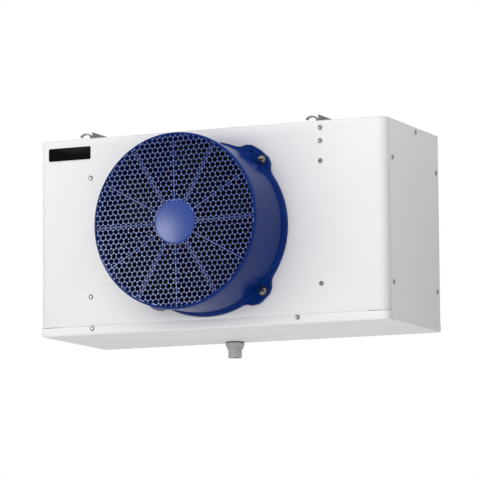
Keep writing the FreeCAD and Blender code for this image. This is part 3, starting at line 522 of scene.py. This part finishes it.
panValues = {"lip": 17.0, "gap": 0.4, "wing": 2.5, "tail": 3.0, "boxFrom": 5.0, "sideR": 10.0, "sideSteps": 10,
             "frontR": 3.5, "backR": 8.0, "backSteps": 8, "over": 5.0, "far": 500.0, "near": 0.05, "edge": 0.3,
             "drain": (-62.0, 256.0), "drainR": 13.65, "drainDeep": 12.0, "drainSides": 64}


# A solid cut to the pan's outline from the front and from the side, opened at the top and given its thickness.
def makeDrainPan():
    v = panValues
    low, high, over, far = -v["lip"], -v["gap"], v["over"], v["far"]
    wide = casing["halfW"] + v["wing"]
    back = casing["depth"] + v["tail"]
    inner = casing["halfW"] - casing["sheet"]
    line = planLine(wide, casing["cornerBack"])
    pan = block("drainPan", [spot(x, y, low) for x, y in line], push(z=high - low))
    carve(pan, slab("panBack", -inner, inner, v["boxFrom"], back, low, high), "UNION")
    across = rounded([(-wide, over, 0.0), (-wide, low, v["sideR"]), (wide, low, v["sideR"]), (wide, over, 0.0)],
                     v["sideSteps"])
    carve(pan, block("across", [spot(x, -far, z) for x, z in across], push(y=2 * far)), "INTERSECT")
    along = rounded([(0.0, over, 0.0), (0.0, low, v["frontR"]), (back, low, v["backR"]), (back, over, 0.0)],
                    v["backSteps"])
    carve(pan, block("along", [spot(-far, y, z) for y, z in along], push(x=2 * far)), "INTERSECT")
    topZ = spot(0, 0, high).z
    pickFaces(pan, lambda at, normal: abs(at.z - topZ) < v["near"] / 1000.0)
    bpy.ops.mesh.delete(type="FACE")
    bpy.ops.object.mode_set(mode="OBJECT")
    modify(pan, "SOLIDIFY", thickness=casing["sheet"] / 1000.0, offset=-1.0, use_even_offset=True)
    carve(pan, rod("drainHole", spot(*v["drain"], low), v["drainR"], v["drainDeep"], "z", v["drainSides"]))
    soften(pan, v["edge"])
    finish(pan, "drainPan", "white_coat", ["drain_pan"])


ringValues = {"inR": 156.0, "rearR": 161.0, "frontR": 163.0, "flangeR": 167.0, "back": -1.5, "face": -10.0,
              "reach": -132.0, "nose": -142.0, "lipR": 158.4, "edgeR": 1.2, "edgeSteps": 6, "coveR": 4.5,
              "coveSteps": 10, "steps": 256, "soft": 0.9, "softSteps": 3, "softFrom": 38.0, "smooth": 24.0}
earValues = {"boltR": 171.5, "sink": 0.1, "cornerSteps": 6, "trimFrom": 57.0, "lowTrim": 3.2,
             "pocketTurn": 49.0, "pocketOut": 11.0, "pocketR": 24.0, "pocketL": 38.0, "pocketSink": 0.4,
             "pocketSides": 72, "holeTurn": 55.5, "holeR": 2.4, "holeY": -6.0, "holeL": 30.0, "holeSides": 20}
ductValues = {"turn": 200.0, "inR": 158.5, "outR": 169.0, "half": 8.0, "slotIn": 146.5, "slotOut": 163.0,
              "slotHalf": 4.0, "slotY": (-150.0, 5.0)}
# An ear's outline: how far out from the bolts' circle, its turn in degrees and the radius of the corner.
earCorners = [(-21.5, 36.0, 0.0), (-4.7, 35.0, 0.0), (-1.8, 38.3, 6.0), (7.5, 41.6, 5.0), (11.7, 45.2, 6.0),
              (12.2, 52.0, 20.0), (11.0, 57.8, 5.0), (6.0, 61.2, 5.0), (-1.5, 63.8, 6.0), (-4.7, 67.0, 0.0),
              (-21.5, 66.0, 0.0)]
earSides = [(1.0, 1.0), (1.0, -1.0), (-1.0, 1.0), (-1.0, -1.0)]


def arc(ca, cb, r, start, end, steps):
    turns = [math.radians(start + (end - start) * k / steps) for k in range(steps + 1)]
    return [(ca + r * math.cos(t), cb + r * math.sin(t)) for t in turns]


# A block lying along a radius of the fan, as wide as twice its half.
def fanBlock(name, r0, r1, y0, y1, half, turn):
    a = math.radians(turn)
    along, across = Vector((math.cos(a), 0, math.sin(a))), Vector((-math.sin(a), 0, math.cos(a)))
    centre = spot(fan["x"], y0, fan["z"])
    corners = [centre + along * (r / 1000.0) + across * (h / 1000.0)
               for r, h in ((r0, -half), (r1, -half), (r1, half), (r0, half))]
    return block(name, corners, push(y=y1 - y0))


def makeEar(side, level):
    v, back = earValues, ringValues["back"]
    points = []
    for out, turn, r in earCorners:
        if level < 0.0 and turn > v["trimFrom"]:
            turn -= v["lowTrim"]
        points.append((*roundFan(v["boltR"] + out, turn, side, level), r))
    outline = [spot(x, back - v["sink"], z) for x, z in rounded(points, v["cornerSteps"])]
    return block("ear", outline, push(y=ringValues["face"] - back + v["sink"]))


# The moulded ring: a turned wall with its flange, four ears, the cable duct, then pockets and holes.
def makeFanRing():
    v, e, c = ringValues, ringValues["edgeR"], ringValues["coveR"]
    section = [(v["inR"], v["nose"]), (v["inR"], v["back"]), (v["flangeR"], v["back"])]
    section += arc(v["flangeR"] - e, v["face"] + e, e, 0.0, -90.0, v["edgeSteps"])
    section += arc(v["rearR"] + c, v["face"] - c, c, 90.0, 180.0, v["coveSteps"])
    section += [(v["frontR"], v["reach"]), (v["lipR"], v["reach"]), (v["lipR"], v["nose"])]
    ring = turned("fanRing", section, spot(fan["x"], 0, fan["z"]), Vector((0, 1, 0)), v["steps"], closed=True)
    for side, level in earSides:
        carve(ring, makeEar(side, level), "UNION")
    d = ductValues
    carve(ring, fanBlock("duct", d["inR"], d["outR"], v["reach"], v["back"], d["half"], d["turn"]), "UNION")
    carve(ring, fanBlock("ductSlot", d["slotIn"], d["slotOut"], *d["slotY"], d["slotHalf"], d["turn"]))
    soften(ring, v["soft"], v["softSteps"], v["softFrom"])
    w = earValues
    for side, level in earSides:
        x, z = roundFan(w["boltR"] + w["pocketOut"], w["pocketTurn"], side, level)
        y = v["face"] + w["pocketSink"] - w["pocketL"] / 2.0
        carve(ring, rod("pocket", spot(x, y, z), w["pocketR"], w["pocketL"], "y", w["pocketSides"]))
        x, z = roundFan(w["boltR"], w["holeTurn"], side, level)
        carve(ring, rod("earHole", spot(x, w["holeY"], z), w["holeR"], w["holeL"], "y", w["holeSides"]))
    finish(ring, "fanRing", "blue_plastic", ["fan_ring"], smooth=v["smooth"])


guardValues = {"front": -150.0, "outR": 166.0, "webR": 162.4, "lap": 0.4, "inEase": 0.5, "roundDeep": 4.2,
               "roundSteps": 9, "skirtEnd": -132.0, "skirtInR": 158.7, "skirtEase": 0.6, "backZ": -144.0,
               "bossR": 44.0, "bossFront": -148.0, "bossBack": -139.0, "bossSlope": 2.5, "bossEdge": 1.0,
               "bossSteps": 96, "hubR": 42.0, "underHub": 4.0, "steps": 256, "smooth": 32.0,
               "shift": (1.6, -3.4), "tilt": 1.1, "ribs": 12, "ribW": 2.4, "ribY": (-149.0, -145.5), "ribEase": 0.4}
cellValues = {"pitch": 10.6, "hole": 8.4, "cornerEase": 0.975, "lip": 0.15, "hair": 0.004, "sink": 0.35,
              "thick": 5.0, "start": 1.0, "boreIn": 0.4, "pastRim": 3.0, "clipL": 60.0}


# The point on the face where the ribs cross; the grille sits a little off the fan's axis, as in the photograph.
def crossing(y):
    right, up = guardValues["shift"]
    return spot(fan["x"] + right, y, fan["z"] + up)


# One closed cell: rings of twelve points, with the six at the corners and the six between them.
def makeCell(at):
    v = cellValues
    flat = v["pitch"] / 2.0 - v["hair"]
    hole = v["hole"] / 2.0
    corner = 1.0 / math.cos(math.radians(30.0))
    rings = [(flat, corner, 0.0), (hole + v["lip"], corner * v["cornerEase"], 0.0),
             (hole, corner * v["cornerEase"], v["lip"]), (hole, corner * v["cornerEase"], v["thick"]),
             (flat, corner, v["thick"]), (flat, corner, 0.0)]
    leaveAll()
    bpy.ops.mesh.primitive_circle_add(vertices=12, radius=v["start"] / 1000.0, location=at,
                                      rotation=(math.pi / 2.0, 0, 0))
    cell = bpy.context.object
    cell.name = "cell"
    bpy.ops.object.transform_apply(location=False, rotation=True, scale=False)
    size, stretch, depth = v["start"], 1.0, 0.0
    for i, (r, ratio, y) in enumerate(rings):
        bpy.ops.object.mode_set(mode="EDIT")
        if i:
            bpy.ops.mesh.extrude_edges_move(TRANSFORM_OT_translate={"value": push(y=y - depth)})
        bpy.ops.transform.resize(value=(r / size, 1.0, r / size), center_override=at)
        bpy.ops.object.mode_set(mode="OBJECT")
        points = cell.data.vertices
        ring = [point.index for point in points if point.select]
        for point in points:
            turn = math.degrees(math.atan2(point.co.z, point.co.x)) % 60.0
            point.select = point.index in ring and abs(turn - 30.0) < 15.0  # the six corners
        bpy.ops.object.mode_set(mode="EDIT")
        bpy.ops.mesh.select_mode(type="VERT")
        bpy.ops.transform.resize(value=(ratio / stretch, 1.0, ratio / stretch), center_override=at)
        bpy.ops.object.mode_set(mode="OBJECT")
        for index in ring:
            points[index].select = True
        bpy.ops.object.mode_set(mode="EDIT")
        bpy.ops.mesh.select_mode(type="EDGE")
        bpy.ops.object.mode_set(mode="OBJECT")
        size, stretch, depth = r, ratio, y
    bpy.ops.object.mode_set(mode="EDIT")
    setOutward()
    inside = (flat - v["boreIn"]) / 1000.0
    coatFaces(cell, webBluePaintedLight, paintedShadeBore,  # the second coat, a near-black painted shade, goes on the walls of the bore
              lambda place, normal: abs(normal.y) < 1.0 - facing and (place.xz - at.xz).length < inside)
    return cell


# The grille and its ribs are also turned a little round the fan's axis.
def turnOnFace(obj, at):
    editAll(obj)
    bpy.ops.transform.rotate(value=math.radians(guardValues["tilt"]), orient_axis="Y", center_override=at)
    bpy.ops.object.mode_set(mode="OBJECT")


# Takes out whole cells by their number in the mesh.
def dropCells(comb, perCell, unwanted):
    pickFaces(comb, lambda at, normal: False)
    bpy.ops.object.mode_set(mode="OBJECT")
    for face in comb.data.polygons:
        face.select = face.index // perCell in unwanted
    bpy.ops.object.mode_set(mode="EDIT")
    bpy.ops.mesh.delete(type="FACE")
    bpy.ops.object.mode_set(mode="OBJECT")


# The middle of each cell, as its distance from the fan's axis.
def cellReach(comb, perCell):
    faces = comb.data.polygons
    axisAt = spot(fan["x"], 0, fan["z"])
    reaches = []
    for group in range(len(faces) // perCell):
        middle = Vector((0, 0, 0))
        for i in range(perCell):
            middle += faces[group * perCell + i].center
        middle /= perCell
        reaches.append((middle.xz - axisAt.xz).length * 1000.0)
    return reaches


# Cells copied on their lattice; those across the rim are trimmed by it.
def makeHoneycomb():
    v, c = guardValues, cellValues
    pitch = c["pitch"]
    at = crossing(v["front"] + c["sink"])
    cell = makeCell(at)
    perCell = len(cell.data.polygons)
    rowStep = pitch * math.sqrt(3.0) / 2.0
    second = copyOf(cell)
    second.location += push(pitch / 2.0, 0.0, rowStep)
    comb = joined("honeycomb", [cell, second])
    columns = 2 * int(v["outR"] / pitch) + 3  # odd numbers, and enough to pass the rim on every side
    rows = 2 * (int(v["outR"] / rowStep) // 2) + 3
    for count, step in ((columns, push(x=pitch)), (rows, push(z=2.0 * rowStep))):
        modify(comb, "ARRAY", count=count, use_relative_offset=False, use_constant_offset=True,
               constant_offset_displace=step)
    comb.location += push(-(columns // 2) * pitch, 0.0, -(rows // 2) * 2.0 * rowStep)
    pick(comb)
    bpy.ops.object.transform_apply(location=True, rotation=False, scale=False)
    turnOnFace(comb, at)
    reaches = cellReach(comb, perCell)
    edge = v["webR"] + v["lap"]
    fits = edge - pitch / math.sqrt(3.0)
    border = copyOf(comb)
    whole = {i for i, r in enumerate(reaches) if v["hubR"] - v["underHub"] < r < fits}
    across = {i for i, r in enumerate(reaches) if fits <= r < edge + c["pastRim"]}
    every = set(range(len(reaches)))
    dropCells(comb, perCell, every - whole)
    dropCells(border, perCell, every - across)
    clip = rod("clip", spot(fan["x"], v["front"], fan["z"]), edge, c["clipL"], "y", v["steps"])
    carve(border, clip, "INTERSECT")
    print("cells:", len(whole), "whole and", len(across), "trimmed")
    return joined("honeycomb", [comb, border])


def makeRibs():
    v = guardValues
    right, up = v["shift"]
    middle = fan["z"] + up
    rib = slab("rib", fan["x"] + right + v["hubR"] - v["underHub"], fan["x"] + v["webR"] + v["lap"], *v["ribY"],
               middle - v["ribW"] / 2.0, middle + v["ribW"] / 2.0)
    soften(rib, v["ribEase"])
    rib.data.materials.append(ribBluePaintedLight)
    turnOnFace(rib, crossing(0))
    ribs = [rib]
    for i in range(1, v["ribs"]):
        ribs.append(copyOf(rib))
        bpy.ops.transform.rotate(value=math.tau * i / v["ribs"], orient_axis="Y", center_override=crossing(0))
    return ribs


# The guard: a rounded rim with its skirt, the boss behind the hub, the grille and the ribs.
def makeGuard():
    v = guardValues
    middle, axis = spot(fan["x"], 0, fan["z"]), Vector((0, 1, 0))
    inR, w, d = v["webR"] - v["lap"], v["outR"] - v["webR"], v["roundDeep"]
    section = [(inR, v["backZ"]), (inR, v["front"] + v["inEase"]), (v["webR"], v["front"])]
    for k in range(1, v["roundSteps"] + 1):
        t = math.radians(90.0 / v["roundSteps"] * k)
        section.append((v["webR"] + w * math.sin(t), v["front"] + d * (1.0 - math.cos(t))))
    section += [(v["outR"], v["skirtEnd"] - v["skirtEase"]), (v["outR"] - v["skirtEase"], v["skirtEnd"]),
                (v["skirtInR"], v["skirtEnd"]), (v["skirtInR"], v["backZ"])]
    rim = turned("rim", section, middle, axis, v["steps"], closed=True)
    r, front, back = v["bossR"], v["bossFront"], v["bossBack"]
    section = [(0, front), (r - v["bossSlope"], front), (r, front + v["bossSlope"]), (r, back - v["bossEdge"]),
               (r - v["bossEdge"], back), (0, back)]
    boss = turned("boss", section, middle, axis, v["bossSteps"])
    for part in (rim, boss):
        part.data.materials.append(finishes["blue_plastic"])
    ribs = makeRibs()
    guard = joined("fanGuard", [rim, boss, makeHoneycomb()] + ribs)
    finish(guard, "fanGuard", "blue_plastic", ["fan_guard"], smooth=v["smooth"])


hubValues = {"r": 41.0, "crown": -154.0, "crownSteps": 10, "crownIn": 1.6, "shoulder": -150.2, "ease": (0.5, 1.3),
             "rim": -148.6, "back": -148.1, "plugR": 35.5, "steps": 128}


# A low dome with a rounded shoulder, on a plug that enters the boss.
def makeHubCap():
    v = hubValues
    inward, down = v["ease"]
    section = [(0.0, v["crown"])]
    for k in range(1, v["crownSteps"] + 1):
        share = k / v["crownSteps"]
        r = (v["r"] - v["crownIn"]) * share
        section.append((r, v["crown"] + (v["shoulder"] - v["crown"]) * share ** 2))
    section += [(v["r"] - inward, v["shoulder"] + inward), (v["r"], v["shoulder"] + down), (v["r"], v["rim"]),
                (v["plugR"], v["rim"]), (v["plugR"], v["back"]), (0.0, v["back"])]
    cap = turned("hubCap", section, crossing(0), Vector((0, 1, 0)), v["steps"])
    finish(cap, "hubCap", "blue_plastic", ["hub_cap"], coat=glossyBlue)


headValues = {"steps": 8, "stepTurn": 11.0, "brim": 0.18, "dome": 0.82}
screwValues = {"r": 4.6, "h": 2.4, "shankR": 2.0, "shank": 8.0, "sides": 40, "cross": 3.4, "slot": 0.9, "sink": 1.3,
               "ease": 0.12, "easeFrom": 50.0}
screwPlaces = {"front": [(-250.0, 287.0), (-250.0, 56.0), (230.0, 351.0), (230.0, 326.0), (230.0, 288.0),
                         (230.0, 56.0)],
               "pan": [(-247.0, -5.0), (181.0, -5.0)],
               "side": [(159.0, 355.0), (38.0, 291.0), (265.0, 291.0), (38.0, 56.0), (265.0, 60.0)],
               "rail": [(x, y) for x in (-244.0, 231.0) for y in (34.0, 165.0, 246.0)]}
boltValues = {"r": 7.8, "h": 5.0, "shankR": 3.0, "shank": 20.0, "sides": 64, "slot": 2.6, "slotL": 11.5, "sink": 2.8,
              "near": 0.1, "ease": 0.3, "easeFrom": 50.0, "lift": 0.8, "turns": (46.5, -46.5, 133.5, 226.5),
              "washer": [(3.3, 0.0), (3.3, -1.0), (9.0, -1.0), (9.6, -0.5), (9.6, 0.0)]}


# A domed head at the working origin, pointing out along -y, with its shank behind it.
def domedHead(name, v):
    h = headValues
    widest = math.sin(math.radians(h["steps"] * h["stepTurn"]))
    section = [(0.0, -v["h"])]
    for k in range(1, h["steps"] + 1):
        a = math.radians(h["stepTurn"] * k)
        section.append((v["r"] * math.sin(a) / widest, -v["h"] * (h["brim"] + h["dome"] * math.cos(a))))
    section += [(v["r"], 0.0), (v["shankR"], 0.0), (v["shankR"], v["shank"]), (0.0, v["shank"])]
    return turned(name, section, spot(0, 0, 0), Vector((0, 1, 0)), v["sides"])


# A cutter for a slot in such a head, as long and as high as given.
def slotCutter(v, length, height):
    return slab("slot", -length / 2.0, length / 2.0, -v["h"] - clear, -v["h"] + v["sink"], -height / 2.0, height / 2.0)


def placed(source, places, turn=None):
    made = []
    origin = spot(0, 0, 0)
    for place in places:
        one = copyOf(source)
        if turn:
            bpy.ops.transform.rotate(value=turn[1], orient_axis=turn[0], center_override=origin)
        bpy.ops.transform.translate(value=spot(*place) - origin)
        made.append(one)
    return made


def makeScrews():
    v = screwValues
    head = domedHead("screw", v)
    cross = slotCutter(v, v["cross"], v["slot"])
    carve(cross, slotCutter(v, v["slot"], v["cross"]), "UNION")
    carve(head, cross)
    soften(head, v["ease"], 1, v["easeFrom"])
    half, railTop, quarter = casing["halfW"], casing["height"] + railValues["t"], math.pi / 2.0
    sides = screwPlaces["side"]
    sets = [("frontScrews", "front_screws", [(x, 0.0, z) for x, z in screwPlaces["front"]], None),
            ("panScrews", "pan_screws", [(x, 0.0, z) for x, z in screwPlaces["pan"]], None),
            ("sideScrewsRight", "side_screws_right", [(half, y, z) for y, z in sides], ("Z", -quarter)),
            ("sideScrewsLeft", "side_screws_left", [(-half, y, z) for y, z in sides], ("Z", quarter)),
            ("railScrews", "rail_screws", [(x, y, railTop) for x, y in screwPlaces["rail"]], ("X", quarter))]
    for name, nodeName, places, turn in sets:
        finish(joined(name, placed(head, places, turn)), name, "zinc_plate", [nodeName])
    bpy.data.objects.remove(head)


# Bolts whose slots are painted black inside as painted shade, on dark washers; the bolts stand a washer's height off
# the ears.
def makeRingBolts():
    v = boltValues
    head = domedHead("bolt", v)
    carve(head, slotCutter(v, v["slotL"], v["slot"]))
    near, middle = v["near"] / 1000.0, spot(0, 0, 0)
    floorY = spot(0, -v["h"] + v["sink"], 0).y
    # The floor and side walls of each slot get black rubber: painted shade in the slot.
    coatFaces(head, finishes["zinc_plate"], finishes["black_rubber"],
              lambda at, normal: at.y < floorY + near and (normal.y < -facing or abs(normal.z) > facing)
              and abs(at.z - middle.z) < v["slot"] / 2000.0 + near)
    soften(head, v["ease"], 2, v["easeFrom"])
    washer = turned("washer", v["washer"], middle, Vector((0, 1, 0)), v["sides"], closed=True)
    places = [roundFan(earValues["boltR"], turn) for turn in v["turns"]]
    face = ringValues["face"]
    for name, coatName, nodes, source, y in (("ringBolts", "zinc_plate", ["ring_bolts"], head, face - v["lift"]),
                                             ("boltWashers", "black_rubber", [], washer, face)):
        finish(joined(name, placed(source, [(x, y, z) for x, z in places])), name, coatName, nodes)
        bpy.data.objects.remove(source)


# The collar is given as steps out from the pipe's radius and down from the collar's top.
drainValues = {"start": -6.0, "top": -19.0, "pipeR": 13.35, "boreR": 10.4, "end": -48.0, "endEase": 0.6,
               "boreEase": 0.5, "steps": 96,
               "collar": [(0.0, 0.0), (4.6, 0.0), (5.35, -0.7), (5.35, -3.8), (4.7, -4.6), (3.4, -8.2), (2.9, -8.6),
                          (2.55, -9.0), (2.55, -11.2), (1.7, -12.0), (0.0, -12.0)]}


def makeDrainFitting():
    v = drainValues
    p, bore, end, x, y = v["pipeR"], v["boreR"], v["end"], *panValues["drain"]
    section = [(bore, v["start"]), (p, v["start"])] + [(p + out, v["top"] + down) for out, down in v["collar"]]
    section += [(p, end + v["endEase"]), (p - v["endEase"], end), (bore + v["boreEase"], end),
                (bore, end + v["boreEase"])]
    fitting = turned("drainFitting", section, spot(x, y, 0), Vector((0, 0, 1)), v["steps"], closed=True)
    finish(fitting, "drainFitting", "grey_plastic", ["drain_fitting"])


railValues = {"t": 2.0, "h": 13.0, "foot": 18.0, "front": 8.0, "back": 272.0, "webs": (-249.0, 225.0), "bend": 1.6,
              "footBend": 2.6, "bendSteps": 5, "edge": 0.25}
tabValues = {"at": (95.0, 235.0), "w": 32.0, "l": 32.0, "down": 4.0, "slotIn": 17.0, "slotHalf": 5.5, "slotL": 20.0,
             "slotEase": 0.01, "slotSteps": 8, "cutFrom": 5.0, "cutDeep": 8.0}
hookValues = {"r": 9.6, "flat": 0.76, "t": 2.8, "l": 7.0, "set": 16.0, "up": 2.0, "foot": 1.0, "turns": (-11.0, 165.0),
              "steps": 18}


# A slotted tab bent out from the top of the rail's web.
def makeTab(webX, y, top):
    v, r = tabValues, railValues
    line = rounded([(webX - v["w"], top, 0.0), (webX, top, r["bend"]), (webX, top - v["down"], 0.0)], r["bendSteps"])
    tab = foldedSheet("tab", [spot(x, y - v["l"] / 2.0, z) for x, z in line], push(y=v["l"]), r["t"], -1.0)
    x, half, end = webX - v["slotIn"], v["slotHalf"], v["slotL"] / 2.0
    outline = rounded([(x + a * end, y + b * half, half - v["slotEase"])
                       for a, b in ((-1, -1), (1, -1), (1, 1), (-1, 1))], v["slotSteps"])
    carve(tab, block("slotCut", [spot(a, b, top - v["cutFrom"]) for a, b in outline], push(z=v["cutDeep"])))
    return tab


# The flattened arch of strap that shows in front of the rail.
def makeHook(webX, foot):
    v, r = hookValues, railValues
    x0, z0 = webX - v["set"], foot + v["up"]
    arch = [(x, z0 + (z - foot - v["up"]) * v["flat"]) for x, z in arc(x0, z0, v["r"], *v["turns"], v["steps"])]
    line = [(webX - r["t"], foot), (x0 + v["r"] + v["foot"], foot)] + arch
    return foldedSheet("hook", [spot(x, r["front"], z) for x, z in line], push(y=v["l"]), v["t"], -1.0)


def makeHangerRails():
    v, t = railValues, railValues["t"]
    foot = casing["height"]
    top = foot + v["h"]
    for webX, name, nodeName in zip(v["webs"], ("hangerRailLeft", "hangerRailRight"),
                                    ("hanger_rail_left", "hanger_rail_right")):
        line = rounded([(webX + v["foot"], foot, 0.0), (webX - t, foot, v["footBend"]), (webX - t, top, 0.0)],
                       v["bendSteps"])
        outline = [spot(x, v["front"], z) for x, z in line]
        parts = [foldedSheet("rail", outline, push(y=v["back"] - v["front"]), t, -1.0)]
        parts += [makeTab(webX, y, top) for y in tabValues["at"]]
        parts.append(makeHook(webX, foot))
        for part in parts:
            soften(part, v["edge"])
        finish(joined(name, parts), name, "galvanised", [nodeName])


plateValues = {"x": (-340.0, -250.0), "z": (324.0, 349.0), "t": 0.8, "r": 2.5, "cornerSteps": 6, "near": 0.05,
               "border": 1.6, "lineW": 0.3, "lineDeep": 0.2, "edge": 0.15}


# A plain plate with a fine line round it.
def makeNamePlate():
    v, r = plateValues, plateValues["r"]
    (x0, x1), (z0, z1) = v["x"], v["z"]
    outline = rounded([(x0, z0, r), (x1, z0, r), (x1, z1, r), (x0, z1, r)], v["cornerSteps"])
    plate = block("blankPlate", [spot(x, 0.0, z) for x, z in outline], push(y=-v["t"]))
    faceY = spot(0, -v["t"], 0).y
    pickFaces(plate, lambda at, normal: abs(at.y - faceY) < v["near"] / 1000.0)
    bpy.ops.mesh.inset(thickness=v["border"] / 1000.0)
    bpy.ops.mesh.inset(thickness=v["lineW"] / 1000.0, depth=-v["lineDeep"] / 1000.0)
    bpy.ops.object.mode_set(mode="OBJECT")
    soften(plate, v["edge"])
    finish(plate, "blankPlate", "plate_face", ["nameplate"])


finValues = {"x": (-256.2, 236.2), "y": (178.0, 256.0), "z": (6.0, 338.0), "first": 0.7, "spare": 2.0, "pitch": 3.6,
             "thick": 0.3, "waves": 12, "swing": 0.5}


# One corrugated fin, repeated along the coil.
def makeFins():
    v = finValues
    (x0, x1), (y0, y1), (z0, z1) = v["x"], v["y"], v["z"]
    line = []
    for k in range(v["waves"] + 1):
        y = y0 + (y1 - y0) * k / v["waves"]
        line.append(spot(x0 + v["first"] + (v["swing"] if k % 2 else 0.0), y, z0))
    fin = foldedSheet("finPack", line, push(z=z1 - z0), v["thick"], 0.0)
    modify(fin, "ARRAY", count=int((x1 - x0 - v["spare"]) / v["pitch"]) + 1, use_relative_offset=False,
           use_constant_offset=True, constant_offset_displace=push(x=v["pitch"]))
    finish(fin, "finPack", "fin_aluminium", ["fin_pack"])


makeFrontPanel()
makeTopPanel()
makeEndPanels()
makeDrainPan()
makeFanRing()
makeGuard()
makeHubCap()
makeScrews()
makeRingBolts()
makeDrainFitting()
makeHangerRails()
makeNamePlate()
makeFins()
print("pieces made")


# From here on lengths are in metres.
cameraValues = {"at": (2.854, -6.369, -1.115), "yaw": 23.99, "pitch": 7.43, "roll": -0.41, "lens": 272.1,
                "sensor": 36.0, "far": 60.0}


def makeCamera():
    v = cameraValues
    data = bpy.data.cameras.new("camera")
    data.lens = v["lens"]
    data.sensor_width = v["sensor"]
    data.clip_end = v["far"]
    camera = bpy.data.objects.new("camera", data)
    bpy.context.scene.collection.objects.link(camera)
    camera.location = v["at"]
    turn = (Matrix.Rotation(math.radians(v["yaw"]), 4, "Z") @ Matrix.Rotation(math.radians(90.0 + v["pitch"]), 4, "X")
            @ Matrix.Rotation(math.radians(v["roll"]), 4, "Z"))
    camera.rotation_euler = turn.to_euler()
    bpy.context.scene.camera = camera


lampValues = {"front": {"at": (0.7, -3.2, -0.55), "size": (2.0, 2.0), "watts": 32.5, "seenBy": "diffuse"},
              "above": {"at": (0.0, -0.2, 3.2), "size": (5.0, 5.0), "watts": 140.0, "seenBy": "diffuse"},
              "shine": {"at": (-0.62, -1.14, -0.27), "size": (0.36, 0.5), "watts": 12.0, "seenBy": "glossy"}}
lampAim = (0.03, -0.1, -0.2)


# The wide lamps light the surfaces; the small one stands for the softbox seen in the gloss.
def makeLamps():
    for name, v in lampValues.items():
        data = bpy.data.lights.new(name, "AREA")
        data.shape = "RECTANGLE"
        data.size, data.size_y = v["size"]
        data.energy = v["watts"]
        lamp = bpy.data.objects.new(name, data)
        bpy.context.scene.collection.objects.link(lamp)
        lamp.location = v["at"]
        lamp.rotation_euler = (Vector(lampAim) - lamp.location).to_track_quat("-Z", "Y").to_euler()
        lamp.visible_camera = False
        lamp.visible_diffuse = v["seenBy"] == "diffuse"
        lamp.visible_glossy = v["seenBy"] == "glossy"


roomValues = {"floorZ": -2.6, "size": 30.0, "floorGrey": 0.9, "floorRough": 0.8, "ambient": 0.50, "lean": 0.28,
              "towards": (-0.755, -0.655, 0.0)}


# A pale floor, and a world that is plain white to the camera and lights the part softly, more from one side.
def makeRoom():
    v = roomValues
    leaveAll()
    bpy.ops.mesh.primitive_plane_add(size=v["size"], location=(0, 0, v["floorZ"]))
    floor = bpy.context.object
    floor.name = "floor"
    material, shader = startFinish("floorPaint", Roughness=v["floorRough"])
    shader.inputs["Base Color"].default_value = grey(v["floorGrey"])
    floor.data.materials.append(material)
    world = bpy.context.scene.world or bpy.data.worlds.new("World")
    bpy.context.scene.world = world
    world.use_nodes = True
    tree = world.node_tree
    tree.nodes.clear()
    path = tree.nodes.new("ShaderNodeLightPath")
    seen = addNode(tree, "ShaderNodeMath", operation="ADD")
    tree.links.new(path.outputs["Is Camera Ray"], seen.inputs[0])
    tree.links.new(path.outputs["Is Glossy Ray"], seen.inputs[1])
    through = addNode(tree, "ShaderNodeMath", operation="ADD", use_clamp=True)
    tree.links.new(seen.outputs[0], through.inputs[0])
    tree.links.new(path.outputs["Is Transmission Ray"], through.inputs[1])
    aim = addNode(tree, "ShaderNodeTexCoord")
    facing = addNode(tree, "ShaderNodeVectorMath", operation="DOT_PRODUCT")
    facing.inputs[1].default_value = v["towards"]
    tree.links.new(aim.outputs["Generated"], facing.inputs[0])
    soft = addNode(tree, "ShaderNodeMath", operation="MULTIPLY_ADD")
    tree.links.new(facing.outputs["Value"], soft.inputs[0])
    soft.inputs[1].default_value = v["lean"]
    soft.inputs[2].default_value = v["ambient"]
    strength = addNode(tree, "ShaderNodeMix", data_type="FLOAT")
    tree.links.new(through.outputs[0], strength.inputs["Factor"])
    tree.links.new(soft.outputs[0], strength.inputs["A"])
    strength.inputs["B"].default_value = 1.0
    sky = addNode(tree, "ShaderNodeBackground")
    tree.links.new(strength.outputs["Result"], sky.inputs["Strength"])
    sky.inputs["Color"].default_value = (1, 1, 1, 1)
    out = tree.nodes.new("ShaderNodeOutputWorld")
    tree.links.new(sky.outputs[0], out.inputs["Surface"])


makeCamera()
makeLamps()
makeRoom()
bpy.context.scene.view_settings.view_transform = "Standard"
print("camera, lamps and room set")
